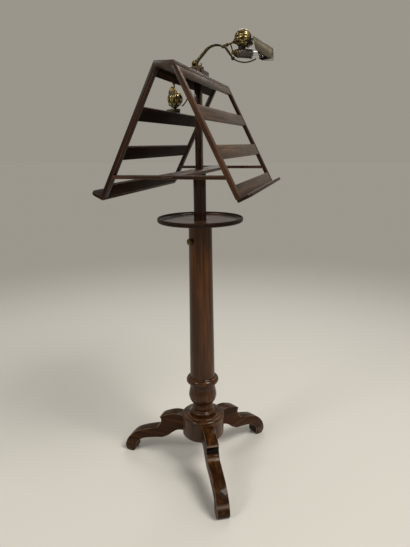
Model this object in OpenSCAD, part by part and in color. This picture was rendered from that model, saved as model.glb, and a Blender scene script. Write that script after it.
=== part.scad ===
/* [Rack] */

// whole length of the two racks
rack_l = 624; // [420:4:900]
// height of the top board above the floor
rack_top_z = 1350; // [1240:5:1500]
// slope of each rack, degrees from upright
rack_slope = 26.5; // [18:0.5:34]
// width of the top board, front edge to front edge
apex_w = 52; // [44:1:80]
// length of a rack down its slope, top edge to the underside of its ledge
slope_l = 384; // [330:2:460]
// thickness of the top board
top_t = 13; // [9:0.5:20]
// width of an upright stile
stile_w = 25; // [18:0.5:36]
// thickness of a stile
stile_t = 12; // [9:0.5:18]
// thickness of a slat
slat_t = 9; // [6:0.5:12]
// height of the two middle slats
slat_h = 38.5; // [28:0.5:54]
// how far down the slope the top rail ends
rail_top_end = 34.5; // [26:0.5:60]
// how far down the slope the upper slat starts
slat_a_start = 115.5; // [95:0.5:140]
// how far down the slope the lower slat starts
slat_b_start = 227; // [205:0.5:250]
// height of the bottom rail above the ledge
rail_low_h = 35; // [26:0.5:50]
// thickness of the ledge that the music stands on
ledge_t = 10; // [7:0.5:16]
// depth of the ledge in front of the rack
ledge_d = 31; // [22:0.5:50]
// radius of the ledge's outer corners
ledge_r = 17; // [8:0.5:22]

/* [Inner frame] */

// how far the flat inner frame lies under the top of the top board
frame_drop = 280; // [260:1:300]
// thickness of the flat inner frame
frame_t = 10; // [8:0.5:16]
// width of an end stretcher
stretcher_w = 30; // [22:0.5:44]
// width of the long bearer
bearer_w = 64; // [50:1:90]
// side of the square upper post
square_w = 21; // [18:0.5:30]

/* [Column] */

// radius of the round lower post
post_r = 20.4; // [17:0.1:23]
// radius of the column under the tray
col_top_r = 38.5; // [36:0.5:44]
// radius of the column above its ring
col_low_r = 44; // [41:0.5:48]
// height of the top of the column
col_top_z = 903; // [860:1:950]
// radius of the tray
tray_r = 140.5; // [110:0.5:180]
// height of the tray's lip above its underside
tray_h = 15; // [10:0.5:26]
// height of the lock knob
lock_z = 841; // [820:1:848]
// radius of the lock knob
lock_r = 11; // [8:0.5:16]

/* [Base] */

// radius of the drum that holds the legs
drum_r = 75; // [68:0.5:84]
// underside of the drum
drum_z = 122; // [110:1:130]
// radius of the moulded disc on the drum
disc_r = 76.5; // [70:0.5:88]
// thickness of a leg
leg_t = 42; // [32:0.5:52]
// reach of the toes from the centre
toe_reach = 312; // [300:1:340]
// radius of a toe's scroll
toe_r = 21; // [17:0.5:26]
// direction of the front leg, degrees
leg_turn = 207; // [180:1:240]

/* [Lamps] */

// distance of each lamp from the middle of the top board
lamp_x = 45; // [38:1:60]
// length of the straight part of a lamp arm
arm_l = 49.2; // [42:0.2:70]
// radius of the hook at the end of an arm
hook_r = 41.3; // [36:0.1:48]
// how far the raised arm stands up, degrees
arm_up = 45; // [20:1:60]
// how far the lowered arm stands up, degrees
arm_down = 2; // [-10:1:20]
// radius of the ornamental ball
ball_r = 25; // [22:0.5:29]
// radius of the half-round shade
hood_r = 22.5; // [21:0.5:26]
// thickness of the sheet of the shade
hood_t = 1.2; // [0.8:0.1:2]

/* [Hidden] */

$fn = 64;
fit = 0.05;
gap = 0.3;
tilt = rack_slope;
half_l = rack_l / 2;
apex_y = apex_w / 2;
ledge_s = slope_l - ledge_t;
rail_low_start = ledge_s - rail_low_h;
inner_l = rack_l - 2 * stile_w;
tenon_l = 14;
tenon_t = 5;
tenon_edge = 4;
ledge_back = 2;
ledge_rebate = 1;
stile_end = ledge_s + ledge_rebate;
rail_low_deep = rail_low_h + ledge_rebate;

// inner frame
frame_z = rack_top_z - frame_drop;
frame_low = frame_z - frame_t;
back_y = apex_y + (rack_top_z - frame_z) * tan(tilt) - stile_t / cos(tilt);
back_y_low = back_y + frame_t * tan(tilt);
housing = 4;
bearer_l = rack_l - 2 * stretcher_w;
bearer_tenon_w = 30;
bearer_tenon_t = 5;
pin_r = 9;
pin_up = 26;
top_low = rack_top_z - top_t;
square_tenon = 13;
square_tenon_h = 7;

// column
bore_r = post_r + 0.6;
bush_r = post_r + 5.6;
bush_l = 44;
bush_top = col_top_z - gap;
post_low = 470;
bore_low = 334;
ring_z = 338;
neck_z = 318;
bulb_z = 280;
waist_z = 246;
cord_z = 212;
disc_z = 187;
disc_top = 206;
dowel_r = 22;
dowel_low = 136;
tray_floor = 5;
tray_lip = 6;
tray_hole = post_r + 1.4;
screw_r = 2;
screw_head = 3.8;
tray_screw_at = (bush_r + col_top_r) / 2;

// lock
lock_turn = leg_turn - 60;
lock_shank = 3.4;
insert_r = 7;
insert_flange = 9.5;
lock_surface = col_top_r + (col_low_r - col_top_r) * (col_top_z - lock_z) / (col_top_z - ring_z);

// legs
toe_x = toe_reach - toe_r;
toe_z = toe_r - 1.5;
leg_tenon_t = 20;
leg_tenon_l = 22;
notch_x = toe_x - 127;
notch_z = 167;

// lamps
block_l = 130;
block_w = 35;
block_h = 17;
block_top = rack_top_z + block_h;
foot_t = 1.5;
eye_r = 8.8;
eye_w = 11;
cheek_t = 2.4;
k_u = 4;
k_z = block_top + foot_t + eye_r + gap;
pivot_r = 2.2;
tube_r1 = 5.2;
tube_r2 = 4;
hook_turn = 74;
wire_r = 2.2;
j_x = arm_l + hook_r * sin(hook_turn);
j_z = -hook_r * (1 - cos(hook_turn));
j_eye = 4.6;
j_w = 5;
j_cheek = 2;
j_pin = 1.5;
rod_angle = 17.2;
left_rod_angle = -93;
left_turn = 240;
strip_x = 9.5;
knob_x = 18.7;
knob_z = -40.2;
knob_r = 5.5;
handle_r = 1.6;
rod_r = 3;
spigot_r = 2.4;
hub_end = 17;
ball_x = 61.7;
axis_drop = 33;
stub_r = 5;
saddle_r = 11;
collar_r = 14.5;
collar_l = 6;
ball_wall = 1.8;
ball_hole = 4;
hood_sink = 1.5;
hood_wrap = 255;
hood_start = 30;
hood_left = 29.5;
hood_top = 5.4;
hood_lean = 14;
hood_to = 85;
hood_low = 59.5;
tube_turn = 24;
tube_x = 22.5;
tube_z = -25.5;
cup_l = 18;
cup_r1 = 5;
cup_r2 = 14;
socket_r = 13.4;
socket_l = 40;
bulb_r = 7.5;
bulb_l = 34;

mahogany = [0.16, 0.08, 0.05];
brass = [0.55, 0.45, 0.22];
shade = [0.45, 0.40, 0.34];
black = [0.07, 0.07, 0.07];
glass = [0.85, 0.87, 0.88];

function blend(a, b, c, d, t) = 0.5 * (2 * b + (c - a) * t
  + (2 * a - 5 * b + 4 * c - d) * t * t + (3 * b - a - 3 * c + d) * t * t * t);
function curve(p, n) = [
  for (i = [0 : len(p) - 2])
    for (k = [0 : n - 1])
      blend(p[max(i - 1, 0)], p[i], p[i + 1], p[min(i + 2, len(p) - 1)], k / n)
];

// Base

module drum() {
  color(mahogany) difference() {
    translate([0, 0, drum_z]) cylinder(r = drum_r, h = disc_z - drum_z);
    translate([0, 0, dowel_low - gap]) cylinder(r = dowel_r + fit, h = disc_z);
    for (k = [0 : 2])
      rotate([0, 0, leg_turn + 120 * k])
        translate([drum_r - leg_tenon_l - fit, -leg_tenon_t / 2 - fit, drum_z + 10 - fit])
          cube([leg_tenon_l + 10, leg_tenon_t + 2 * fit, disc_z - drum_z - 20 + 2 * fit]);
  }
}

module base_disc() {
  color(mahogany) rotate_extrude() difference() {
    union() {
      translate([0, disc_z]) square([disc_r - 7.5, disc_top - disc_z - 3]);
      translate([0, disc_z]) square([disc_r - 1, 4.5]);
      translate([disc_r - 7.5, disc_z + 10.5]) circle(r = 7.5);
      translate([disc_r - 20, disc_top - 3]) circle(r = 5);
      translate([0, disc_z]) square([disc_r - 26, disc_top - disc_z + 1]);
    }
    translate([-disc_r, 0]) square([disc_r + dowel_r + fit, 2 * disc_top]);
    translate([0, disc_z - 50]) square([2 * disc_r, 50]);
  }
}

module leg_outline() {
  top = [
    [58, 188], [80, 189.5], [97, 191], [notch_x - 47, 188], [notch_x - 28, 181],
    [notch_x - 12, 174], [notch_x, notch_z]
  ];
  riser = [
    [notch_x, notch_z], [notch_x - 4, notch_z - 6], [notch_x - 5.5, notch_z - 15],
    [notch_x - 3.5, notch_z - 25], [notch_x + 1, notch_z - 32]
  ];
  step = [
    [notch_x + 2.5, notch_z - 33], [notch_x + 7, notch_z - 40], [notch_x + 16, notch_z - 47.5],
    [notch_x + 37, 113], [notch_x + 72, 101], [toe_x - 24, 87], [toe_x - 3, 69],
    [toe_x + 13, 47], [toe_x + toe_r - 0.4, toe_z + 4]
  ];
  under = [
    [toe_x - toe_r + 0.4, toe_z + 4], [toe_x - 26, 38], [toe_x - 37, 52],
    [toe_x - 56, 64], [toe_x - 84, 73], [toe_x - 110, 79], [toe_x - 135, 84],
    [toe_x - 158, 96], [toe_x - 176, 112], [96, 125], [80, 129], [58, 129]
  ];
  polygon(concat(curve(top, 4), curve(riser, 3), [riser[4]], curve(step, 4), [[toe_x, toe_z]],
    curve(under, 4), [under[11]]));
  translate([toe_x, toe_z]) circle(r = toe_r);
}

module leg(turn) {
  color(mahogany) rotate([0, 0, turn]) {
    difference() {
      rotate([90, 0, 0]) translate([0, 0, -leg_t / 2]) linear_extrude(leg_t) leg_outline();
      translate([0, 0, drum_z - 40]) cylinder(r = drum_r + fit, h = disc_z - drum_z + 60);
      translate([toe_x - 60, -leg_t, -20]) cube([120, 2 * leg_t, 20]);
      translate([0, 0, disc_z]) cylinder(r = disc_r + gap, h = 30);
    }
    translate([drum_r - leg_tenon_l, -leg_tenon_t / 2, drum_z + 10])
      cube([leg_tenon_l + 3, leg_tenon_t, disc_z - drum_z - 20]);
  }
}

module leg_front() {
  leg(leg_turn);
}

module leg_left() {
  leg(leg_turn - 120);
}

module leg_right() {
  leg(leg_turn + 120);
}

// Column and tray

module column_profile() {
  taper = [[col_low_r - 1, ring_z + 10], [col_low_r, ring_z + 12], [col_top_r, col_top_z - 9]];
  polygon(concat(
    [[0, col_top_z - 9], [0, cord_z]],
    [[35, cord_z], [35, cord_z + 14], [36.5, cord_z + 17], [37.5, cord_z + 21]],
    [[37, cord_z + 26], [34.5, cord_z + 30], [34, waist_z]],
    [[37, waist_z + 4], [41.5, waist_z + 10], [45.5, waist_z + 17], [48.3, waist_z + 25]],
    [[49.3, bulb_z], [48.6, bulb_z + 9], [46.8, bulb_z + 18], [44.6, bulb_z + 28]],
    [[43.6, neck_z], [43.6, ring_z - 10]],
    taper
  ));
  translate([col_low_r + 0.5, ring_z]) circle(r = 12.5);
  translate([35, cord_z]) circle(r = 8.5);
  translate([col_top_r - 1.5, col_top_z - 4.5]) circle(r = 4.5);
  translate([0, col_top_z - 9]) square([col_top_r - 1.5, 9]);
  translate([0, disc_top + 1]) square([38, cord_z - disc_top]);
  translate([0, dowel_low]) square([dowel_r, cord_z - dowel_low]);
}

module column() {
  color(mahogany) difference() {
    rotate_extrude() difference() {
      column_profile();
      translate([dowel_r, 0]) square([60, disc_top + 1]);
    }
    translate([0, 0, bore_low]) cylinder(r = bore_r, h = col_top_z);
    translate([0, 0, bush_top - bush_l - gap]) cylinder(r = bush_r + fit, h = bush_l + 20);
    rotate([0, 0, lock_turn]) translate([bore_r - 5, 0, lock_z]) rotate([0, 90, 0])
      cylinder(r = insert_r + fit, h = 60);
    tray_screw_holes();
  }
}

module tray_screw_holes() {
  for (k = [0 : 2])
    rotate([0, 0, leg_turn + 120 * k]) translate([tray_screw_at, 0, col_top_z - 14])
      cylinder(r = screw_r + fit, h = 40);
}

module tray() {
  color(mahogany) difference() {
    rotate_extrude() difference() {
      union() {
        translate([0, col_top_z]) square([tray_r - 6, tray_h * 0.6]);
        translate([tray_r - 6, col_top_z + 6]) circle(r = 6);
        translate([tray_r - tray_lip, col_top_z + 6]) square([tray_lip, tray_h - 9]);
        translate([tray_r - tray_lip / 2, col_top_z + tray_h - 3]) circle(r = tray_lip / 2);
      }
      translate([0, col_top_z + tray_floor]) square([tray_r - tray_lip - 6, tray_h]);
      translate([tray_r - tray_lip - 6, col_top_z + tray_floor + 6]) circle(r = 6);
      translate([0, col_top_z + tray_floor + 6]) square([tray_r - tray_lip, tray_h]);
      translate([-tray_r, 0]) square([tray_r + tray_hole, 2 * col_top_z]);
    }
    tray_screw_holes();
    for (k = [0 : 2])
      rotate([0, 0, leg_turn + 120 * k])
        translate([tray_screw_at, 0, col_top_z + tray_floor - 1.8])
          cylinder(r = screw_head + fit, h = 20);
  }
}

module tray_screws() {
  color(brass) for (k = [0 : 2])
    rotate([0, 0, leg_turn + 120 * k]) translate([tray_screw_at, 0, col_top_z - 13]) {
      cylinder(r = screw_r, h = 13 + tray_floor - 1.8 + 0.2);
      translate([0, 0, 13 + tray_floor - 1.8]) cylinder(r = screw_head, h = 1.5);
    }
}

module lock_insert() {
  color(brass) rotate([0, 0, lock_turn]) translate([0, 0, lock_z]) rotate([0, 90, 0])
    difference() {
      union() {
        translate([0, 0, bore_r + 1]) cylinder(r = insert_r, h = lock_surface - bore_r + 1);
        translate([0, 0, lock_surface + 0.7]) cylinder(r = insert_flange, h = 1.8);
      }
      cylinder(r = lock_shank + fit, h = 2 * lock_surface);
    }
}

module lock_knob() {
  out = lock_surface + 2.5 + gap;
  color(brass) rotate([0, 0, lock_turn]) translate([0, 0, lock_z]) rotate([0, 90, 0]) {
    translate([0, 0, post_r + gap]) cylinder(r = lock_shank, h = out - post_r);
    translate([0, 0, out]) cylinder(r = 5.5, h = 4);
    translate([0, 0, out + 3]) cylinder(r = lock_r, h = 6);
    translate([0, 0, out + 9]) cylinder(r1 = 7, r2 = 4, h = 2);
  }
}

module column_bush() {
  color(brass) translate([0, 0, bush_top - bush_l]) difference() {
    cylinder(r = bush_r, h = bush_l);
    translate([0, 0, -1]) cylinder(r = post_r + fit, h = bush_l + 2);
  }
}

// Posts and inner frame

module round_post() {
  color(mahogany) {
    translate([0, 0, post_low]) cylinder(r = post_r, h = frame_low - post_low);
    translate([0, 0, frame_low - 1]) cylinder(r = pin_r, h = frame_t + pin_up + 1);
  }
}

module square_post() {
  color(mahogany) difference() {
    union() {
      translate([-square_w / 2, -square_w / 2, frame_z])
        cube([square_w, square_w, top_low - frame_z]);
      translate([-square_tenon / 2, -square_tenon / 2, top_low - 1])
        cube([square_tenon, square_tenon, square_tenon_h + 1]);
    }
    translate([0, 0, frame_z - 1]) cylinder(r = pin_r + fit, h = pin_up + 1 + gap);
  }
}

module bearer() {
  color(mahogany) difference() {
    union() {
      translate([-bearer_l / 2, -bearer_w / 2, frame_low]) cube([bearer_l, bearer_w, frame_t]);
      translate([-half_l, -bearer_tenon_w / 2, frame_low + (frame_t - bearer_tenon_t) / 2])
        cube([rack_l, bearer_tenon_w, bearer_tenon_t]);
    }
    translate([0, 0, frame_low - 1]) cylinder(r = pin_r + fit, h = frame_t + 2);
    bearer_screw_places() cylinder(r = screw_r + fit, h = 40, center = true);
  }
}

module bearer_screw_places() {
  for (sx = [-1, 1])
    for (sy = [-1, 1])
      translate([sx * 32, sy * 20, frame_z]) children();
}

module bearer_screws() {
  color(brass) bearer_screw_places() {
    translate([0, 0, -9]) cylinder(r = screw_r, h = 10);
    difference() {
      translate([0, 0, 0]) cylinder(r1 = 4.2, r2 = 3, h = 2.2);
      translate([-6, -0.5, 1.2]) cube([12, 1, 4]);
    }
  }
}

module stretcher(s) {
  x0 = s > 0 ? half_l - stretcher_w : -half_l;
  in = housing / cos(tilt);
  color(mahogany) difference() {
    translate([x0, 0, 0]) rotate([90, 0, 90]) linear_extrude(stretcher_w) polygon([
      [-back_y - in, frame_z], [back_y + in, frame_z],
      [back_y_low + in, frame_low], [-back_y_low - in, frame_low]
    ]);
    translate([-half_l - 1, -bearer_tenon_w / 2 - fit,
      frame_low + (frame_t - bearer_tenon_t) / 2 - fit])
      cube([rack_l + 2, bearer_tenon_w + 2 * fit, bearer_tenon_t + 2 * fit]);
    for (sy = [-1, 1])
      translate([x0 + (s > 0 ? -1 : stile_w), sy > 0 ? back_y : -back_y_low - 20, frame_low - 1])
        cube([stretcher_w - stile_w + 1, 20 + back_y_low - back_y, frame_t + 2]);
  }
}

module stretcher_near() {
  stretcher(-1);
}

module stretcher_far() {
  stretcher(1);
}

// Racks, drawn with the slope along -Z and the front along +Y, then leaned

module right_rack() {
  mirror([0, 1, 0]) translate([0, apex_y, rack_top_z]) rotate([tilt, 0, 0]) children();
}

module left_rack() {
  translate([0, apex_y, rack_top_z]) rotate([tilt, 0, 0]) children();
}

module slat_flat(s0, h) {
  translate([-inner_l / 2, -slat_t, -s0 - h]) cube([inner_l, slat_t, h]);
  translate([-inner_l / 2 - tenon_l, -slat_t / 2 - tenon_t / 2, -s0 - h + tenon_edge])
    cube([inner_l + 2 * tenon_l, tenon_t, h - 2 * tenon_edge]);
}

// space above the underside of the top board, where rails and stiles stop
module above_board() {
  rotate([-tilt, 0, 0]) translate([-rack_l, -200, -top_t])
    cube([2 * rack_l, 400, 90]);
}

module rail_top_flat() {
  difference() {
    slat_flat(0, rail_top_end);
    above_board();
  }
}

module slat_mortises() {
  for (s = [[0, rail_top_end], [slat_a_start, slat_h],
    [slat_b_start, slat_h], [rail_low_start, rail_low_deep]])
    translate([-inner_l / 2 - tenon_l - gap, -slat_t / 2 - tenon_t / 2 - fit,
      -s[0] - s[1] + tenon_edge - fit])
      cube([inner_l + 2 * tenon_l + 2 * gap, tenon_t + 2 * fit, s[1] - 2 * tenon_edge + 2 * fit]);
}

module stile_flat(s) {
  x0 = s > 0 ? half_l - stile_w : -half_l;
  difference() {
    translate([x0, -stile_t, -stile_end]) cube([stile_w, stile_t, stile_end]);
    slat_mortises();
    above_board();
  }
}

module housing_cut() {
  in = housing / cos(tilt) + fit;
  translate([-half_l - 1, 0, 0]) rotate([90, 0, 90]) linear_extrude(rack_l + 2) polygon([
    [0, frame_z + fit], [back_y + in, frame_z + fit],
    [back_y_low + in, frame_low - fit], [0, frame_low - fit]
  ]);
}

module stile_left(s) {
  color(mahogany) difference() {
    left_rack() stile_flat(s);
    housing_cut();
  }
}

module stile_right(s) {
  color(mahogany) mirror([0, 1, 0]) difference() {
    left_rack() stile_flat(s);
    housing_cut();
  }
}

module stile_right_near() {
  stile_right(-1);
}

module stile_right_far() {
  stile_right(1);
}

module stile_left_near() {
  stile_left(-1);
}

module stile_left_far() {
  stile_left(1);
}

module rail_top_right() {
  color(mahogany) right_rack() rail_top_flat();
}

module rail_top_left() {
  color(mahogany) left_rack() rail_top_flat();
}

module slat_upper_right() {
  color(mahogany) right_rack() slat_flat(slat_a_start, slat_h);
}

module slat_upper_left() {
  color(mahogany) left_rack() slat_flat(slat_a_start, slat_h);
}

module slat_lower_right() {
  color(mahogany) right_rack() slat_flat(slat_b_start, slat_h);
}

module slat_lower_left() {
  color(mahogany) left_rack() slat_flat(slat_b_start, slat_h);
}

module rail_low_right() {
  color(mahogany) right_rack() slat_flat(rail_low_start, rail_low_deep);
}

module rail_low_left() {
  color(mahogany) left_rack() slat_flat(rail_low_start, rail_low_deep);
}

module ledge_flat() {
  back = stile_t - ledge_back;
  difference() {
    translate([0, 0, -slope_l]) linear_extrude(ledge_t) {
      translate([-half_l, -back]) square([rack_l, back + ledge_d - ledge_r]);
      translate([-half_l + ledge_r, -back]) square([rack_l - 2 * ledge_r, back + ledge_d]);
      for (sx = [-1, 1])
        translate([sx * (half_l - ledge_r), ledge_d - ledge_r]) circle(r = ledge_r);
    }
    // shallow rebate that the stiles and the bottom rail stand in
    translate([-half_l - 1, -back - 1, -ledge_s - ledge_rebate])
      cube([rack_l + 2, back + 1 + fit, ledge_rebate + 1]);
  }
}

module ledge_right() {
  color(mahogany) right_rack() ledge_flat();
}

module ledge_left() {
  color(mahogany) left_rack() ledge_flat();
}

module top_board() {
  low_y = apex_y + top_t * tan(tilt);
  color(mahogany) difference() {
    translate([-half_l, 0, 0]) rotate([90, 0, 90]) linear_extrude(rack_l)
      polygon([[-apex_y, rack_top_z], [apex_y, rack_top_z], [low_y, top_low], [-low_y, top_low]]);
    translate([-square_tenon / 2 - fit, -square_tenon / 2 - fit, top_low - 1])
      cube([square_tenon + 2 * fit, square_tenon + 2 * fit, square_tenon_h + 1 + gap]);
  }
}

// Lamps, drawn with the outward side along +X, then turned to their side

module right_side() {
  translate([-lamp_x, 0, 0]) rotate([0, 0, -90]) children();
}

module left_side() {
  rotate([0, 0, 180]) right_side() children();
}

module at_arm(a) {
  translate([k_u, 0, k_z]) rotate([0, -a, 0]) children();
}

module at_yoke(a, b) {
  at_arm(a) translate([j_x, 0, j_z]) rotate([0, -(b - a), 0]) children();
}

module right_head() {
  right_side() at_yoke(arm_up, rod_angle) children();
}

module left_head() {
  left_side() at_yoke(arm_down, left_rod_angle) rotate([left_turn, 0, 0]) children();
}

module lamp_block() {
  color(mahogany) difference() {
    translate([-block_l / 2, -block_w / 2, rack_top_z]) cube([block_l, block_w, block_h]);
    for (s = [0, 180])
      rotate([0, 0, s]) right_side()
        translate([block_w / 2 - 9, 12, rack_top_z + block_h / 2]) rotate([0, 90, 0])
          cylinder(r = 1.2 + fit, h = 20);
  }
}

module foot() {
  translate([k_u - 10, -12, block_top]) cube([20, 24, foot_t]);
  for (s = [-1, 1])
    translate([k_u, s * (eye_w / 2 + gap + cheek_t / 2), k_z]) difference() {
      union() {
        rotate([90, 0, 0]) cylinder(r = eye_r - 0.6, h = cheek_t, center = true);
        translate([-eye_r + 0.6, -cheek_t / 2, block_top - k_z + foot_t / 2])
          cube([2 * eye_r - 1.2, cheek_t, k_z - block_top - foot_t / 2]);
      }
      rotate([90, 0, 0]) cylinder(r = pivot_r + fit, h = 10, center = true);
    }
}

module lamp_feet() {
  color(brass) {
    right_side() foot();
    left_side() foot();
  }
}

module pivot() {
  w = eye_w / 2 + gap + cheek_t;
  translate([k_u, 0, k_z]) rotate([90, 0, 0]) {
    cylinder(r = pivot_r, h = 2 * w + 3, center = true);
    for (s = [0, 180])
      rotate([s, 0, 0]) translate([0, 0, w + 0.1]) cylinder(r1 = 5, r2 = 3.2, h = 3);
  }
}

module lamp_pivots() {
  color(brass) {
    right_side() pivot();
    left_side() pivot();
  }
}

module stay() {
  translate([block_w / 2 + 1.4, 7, rack_top_z + 3]) cube([1.6, 10, 27]);
  translate([block_w / 2 - 8, 12, rack_top_z + block_h / 2]) rotate([0, 90, 0]) {
    cylinder(r = 1.2, h = 12.5);
    translate([0, 0, 8.1]) cylinder(r = 3, h = 1.4);
    translate([0, 0, 10.8]) cylinder(r = 2.6, h = 1.4);
  }
}

module lamp_stays() {
  color(brass) {
    right_side() stay();
    left_side() stay();
  }
}

module arm_shape() {
  difference() {
    union() {
      rotate([90, 0, 0]) cylinder(r = eye_r, h = eye_w, center = true);
      translate([6, 0, 0]) rotate([0, 90, 0]) cylinder(r1 = tube_r1, r2 = tube_r2, h = arm_l - 6);
      translate([arm_l, 0, 0]) sphere(r = tube_r2);
      translate([arm_l, 0, -hook_r]) rotate([90, 0, 0]) rotate([0, 0, 90 - hook_turn])
        rotate_extrude(angle = hook_turn) translate([hook_r, 0]) circle(r = wire_r);
      translate([j_x, 0, j_z]) rotate([90, 0, 0]) cylinder(r = j_eye, h = j_w, center = true);
    }
    rotate([90, 0, 0]) cylinder(r = pivot_r + fit, h = 30, center = true);
    translate([j_x, 0, j_z]) rotate([90, 0, 0]) cylinder(r = j_pin + fit, h = 30, center = true);
  }
}

module pin_shape() {
  w = j_w / 2 + gap + j_cheek;
  rotate([90, 0, 0]) {
    cylinder(r = j_pin, h = 2 * w + 1, center = true);
    for (s = [0, 180])
      rotate([s, 0, 0]) translate([0, 0, w + 0.1]) cylinder(r1 = 3.4, r2 = 2.4, h = 1.8);
  }
}

module yoke_strip(extra) {
  dx = knob_x - strip_x;
  dz = knob_z + 1;
  translate([strip_x, 0, -1]) rotate([0, atan2(dx, dz), 0])
    cylinder(r1 = 3.4 + extra, r2 = 2.6 + extra, h = norm([dx, dz]));
}

// bent wire past the knob: the middle of its arc, then how far it turns
module yoke_wire(cx, cz, sweep, extra) {
  wire_arc = norm([cx - knob_x, cz - knob_z]);
  start = atan2(knob_z - cz, knob_x - cx);
  translate([cx, 0, cz]) rotate([90, 0, 0]) rotate([0, 0, start])
    rotate_extrude(angle = sweep) translate([wire_arc, 0]) circle(r = handle_r + extra);
  translate([cx + wire_arc * cos(start + sweep), 0, cz + wire_arc * sin(start + sweep)])
    sphere(r = handle_r + 0.6);
}

module yoke_shape(cx, cz, sweep) {
  w = j_w / 2 + gap;
  difference() {
    union() {
      for (s = [-1, 1])
        translate([0, s * (w + j_cheek / 2), 0]) {
          rotate([90, 0, 0]) cylinder(r = j_eye, h = j_cheek, center = true);
          translate([0, -j_cheek / 2, -3]) cube([8, j_cheek, 6]);
        }
      translate([5.2, 0, 0]) rotate([0, 90, 0]) cylinder(r = w + j_cheek, h = hub_end - 5.2);
      yoke_strip(0);
      yoke_wire(cx, cz, sweep, 0);
    }
    rotate([90, 0, 0]) cylinder(r = j_pin + fit, h = 30, center = true);
    translate([8, 0, 0]) rotate([0, 90, 0]) cylinder(r = spigot_r + fit, h = 20);
  }
}

module pull_knob_shape(cx, cz, sweep) {
  difference() {
    translate([knob_x, 0, knob_z]) sphere(r = knob_r);
    yoke_strip(fit);
    yoke_wire(cx, cz, sweep, fit);
  }
}

module head_rod_shape() {
  difference() {
    union() {
      translate([8.5, 0, 0]) rotate([0, 90, 0]) cylinder(r = spigot_r, h = 12);
      translate([hub_end + gap, 0, 0]) rotate([0, 90, 0])
        cylinder(r = rod_r, h = ball_x - ball_r - hub_end + 3);
      translate([ball_x - ball_r - 4, 0, 0]) rotate([0, 90, 0]) cylinder(r1 = 5, r2 = 9, h = 6.5);
      translate([tube_x + 1, 0, tube_z]) cylinder(r = 2.4, h = -tube_z);
    }
    translate([ball_x, 0, 0]) sphere(r = ball_r + fit);
    translate([tube_x, 0, tube_z]) rotate([0, 90 + tube_turn, 0])
      cylinder(r1 = cup_r1 + fit, r2 = cup_r2 + fit, h = cup_l);
  }
}

module ball_shape() {
  difference() {
    union() {
      translate([ball_x, 0, 0]) sphere(r = ball_r);
      translate([ball_x, 0, 0]) rotate([0, 90 + rod_angle + axis_drop, 0])
        cylinder(r = stub_r, h = ball_r + 8);
      translate([ball_x, 0, 0]) rotate([0, 180 + tube_turn, 0])
        cylinder(r = saddle_r, h = ball_r + 5);
    }
    translate([ball_x, 0, 0]) sphere(r = ball_r - ball_wall);
    translate([ball_x, 0, 0]) rotate([0, -90, 0]) cylinder(r = ball_hole, h = ball_r);
    translate([tube_x, 0, tube_z]) rotate([0, 90 + tube_turn, 0])
      translate([0, 0, -5]) cylinder(r = socket_r + fit, h = cup_l + socket_l + 20);
    translate([tube_x, 0, tube_z]) rotate([0, 90 + tube_turn, 0])
      cylinder(r = cup_r2 + gap, h = cup_l + gap);
  }
}

module cup_shape() {
  translate([tube_x, 0, tube_z]) rotate([0, 90 + tube_turn, 0]) difference() {
    cylinder(r1 = cup_r1, r2 = cup_r2, h = cup_l);
    translate([0, 0, cup_l - 6]) cylinder(r = socket_r - 3 + fit, h = 10);
  }
}

module socket_shape() {
  translate([tube_x, 0, tube_z]) rotate([0, 90 + tube_turn, 0]) difference() {
    union() {
      translate([0, 0, cup_l]) cylinder(r = socket_r, h = socket_l);
      translate([0, 0, cup_l - 5]) cylinder(r = socket_r - 3, h = 6);
    }
    translate([0, 0, cup_l + socket_l - 10]) cylinder(r = bulb_r - 1 + fit, h = 20);
  }
}

module bulb_shape() {
  translate([tube_x, 0, tube_z]) rotate([0, 90 + tube_turn, 0])
    translate([0, 0, cup_l + socket_l]) {
      translate([0, 0, -9]) cylinder(r = bulb_r - 1, h = 10);
      translate([0, 0, gap]) cylinder(r = bulb_r, h = bulb_l - bulb_r);
      translate([0, 0, gap + bulb_l - bulb_r]) sphere(r = bulb_r);
    }
}

module lamp_axis() {
  translate([ball_x, 0, 0]) rotate([0, rod_angle + axis_drop, 0]) children();
}

module collar_shape() {
  lamp_axis() difference() {
    union() {
      translate([ball_r - 5, 0, 0]) rotate([0, 90, 0]) cylinder(r = collar_r, h = collar_l);
      translate([ball_r - 1, -5, 0]) cube([2, 10, hood_r - hood_sink - hood_t - gap - 0.6]);
      translate([ball_r - 1, -5, hood_r - hood_sink - hood_t - 2.5]) cube([27, 10, 1.6]);
    }
    sphere(r = ball_r + gap);
    rotate([0, 90, 0]) cylinder(r = stub_r + fit, h = 60);
  }
}

// where the sheet of the shade is kept: a leaning end by the ball, an upright far end, a level foot
module hood_window() {
  lean = tan(hood_lean);
  rotate([90, 0, 0]) translate([0, 0, -60]) linear_extrude(120) polygon([
    [hood_left + lean * (hood_top - 60), 60], [hood_left + lean * (hood_top + hood_low), -hood_low],
    [hood_to, -hood_low], [hood_to, 60]
  ]);
}

module hood_shape() {
  translate([ball_x, 0, 0]) rotate([0, rod_angle, 0]) intersection() {
    hood_window();
    rotate([0, axis_drop, 0]) translate([0, 0, -hood_sink]) rotate([0, 90, 0])
      rotate([0, 0, hood_start]) rotate_extrude(angle = hood_wrap)
        translate([hood_r - hood_t, 10]) square([hood_t, 120]);
  }
}

module arm_right() {
  color(brass) right_side() at_arm(arm_up) arm_shape();
}

module knuckle_pin_right() {
  color(brass) right_head() pin_shape();
}

module yoke_right() {
  color(brass) right_head() yoke_shape(68.2, -5.3, 66);
}

module pull_knob_right() {
  color(black) right_head() pull_knob_shape(68.2, -5.3, 66);
}

module head_rod_right() {
  color(brass) right_head() head_rod_shape();
}

module ball_right() {
  color(brass) right_head() ball_shape();
}

module cup_right() {
  color(brass) right_head() cup_shape();
}

module socket_right() {
  color(black) right_head() socket_shape();
}

module bulb_right() {
  color(glass) right_head() bulb_shape();
}

module collar_right() {
  color(brass) right_head() collar_shape();
}

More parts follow.
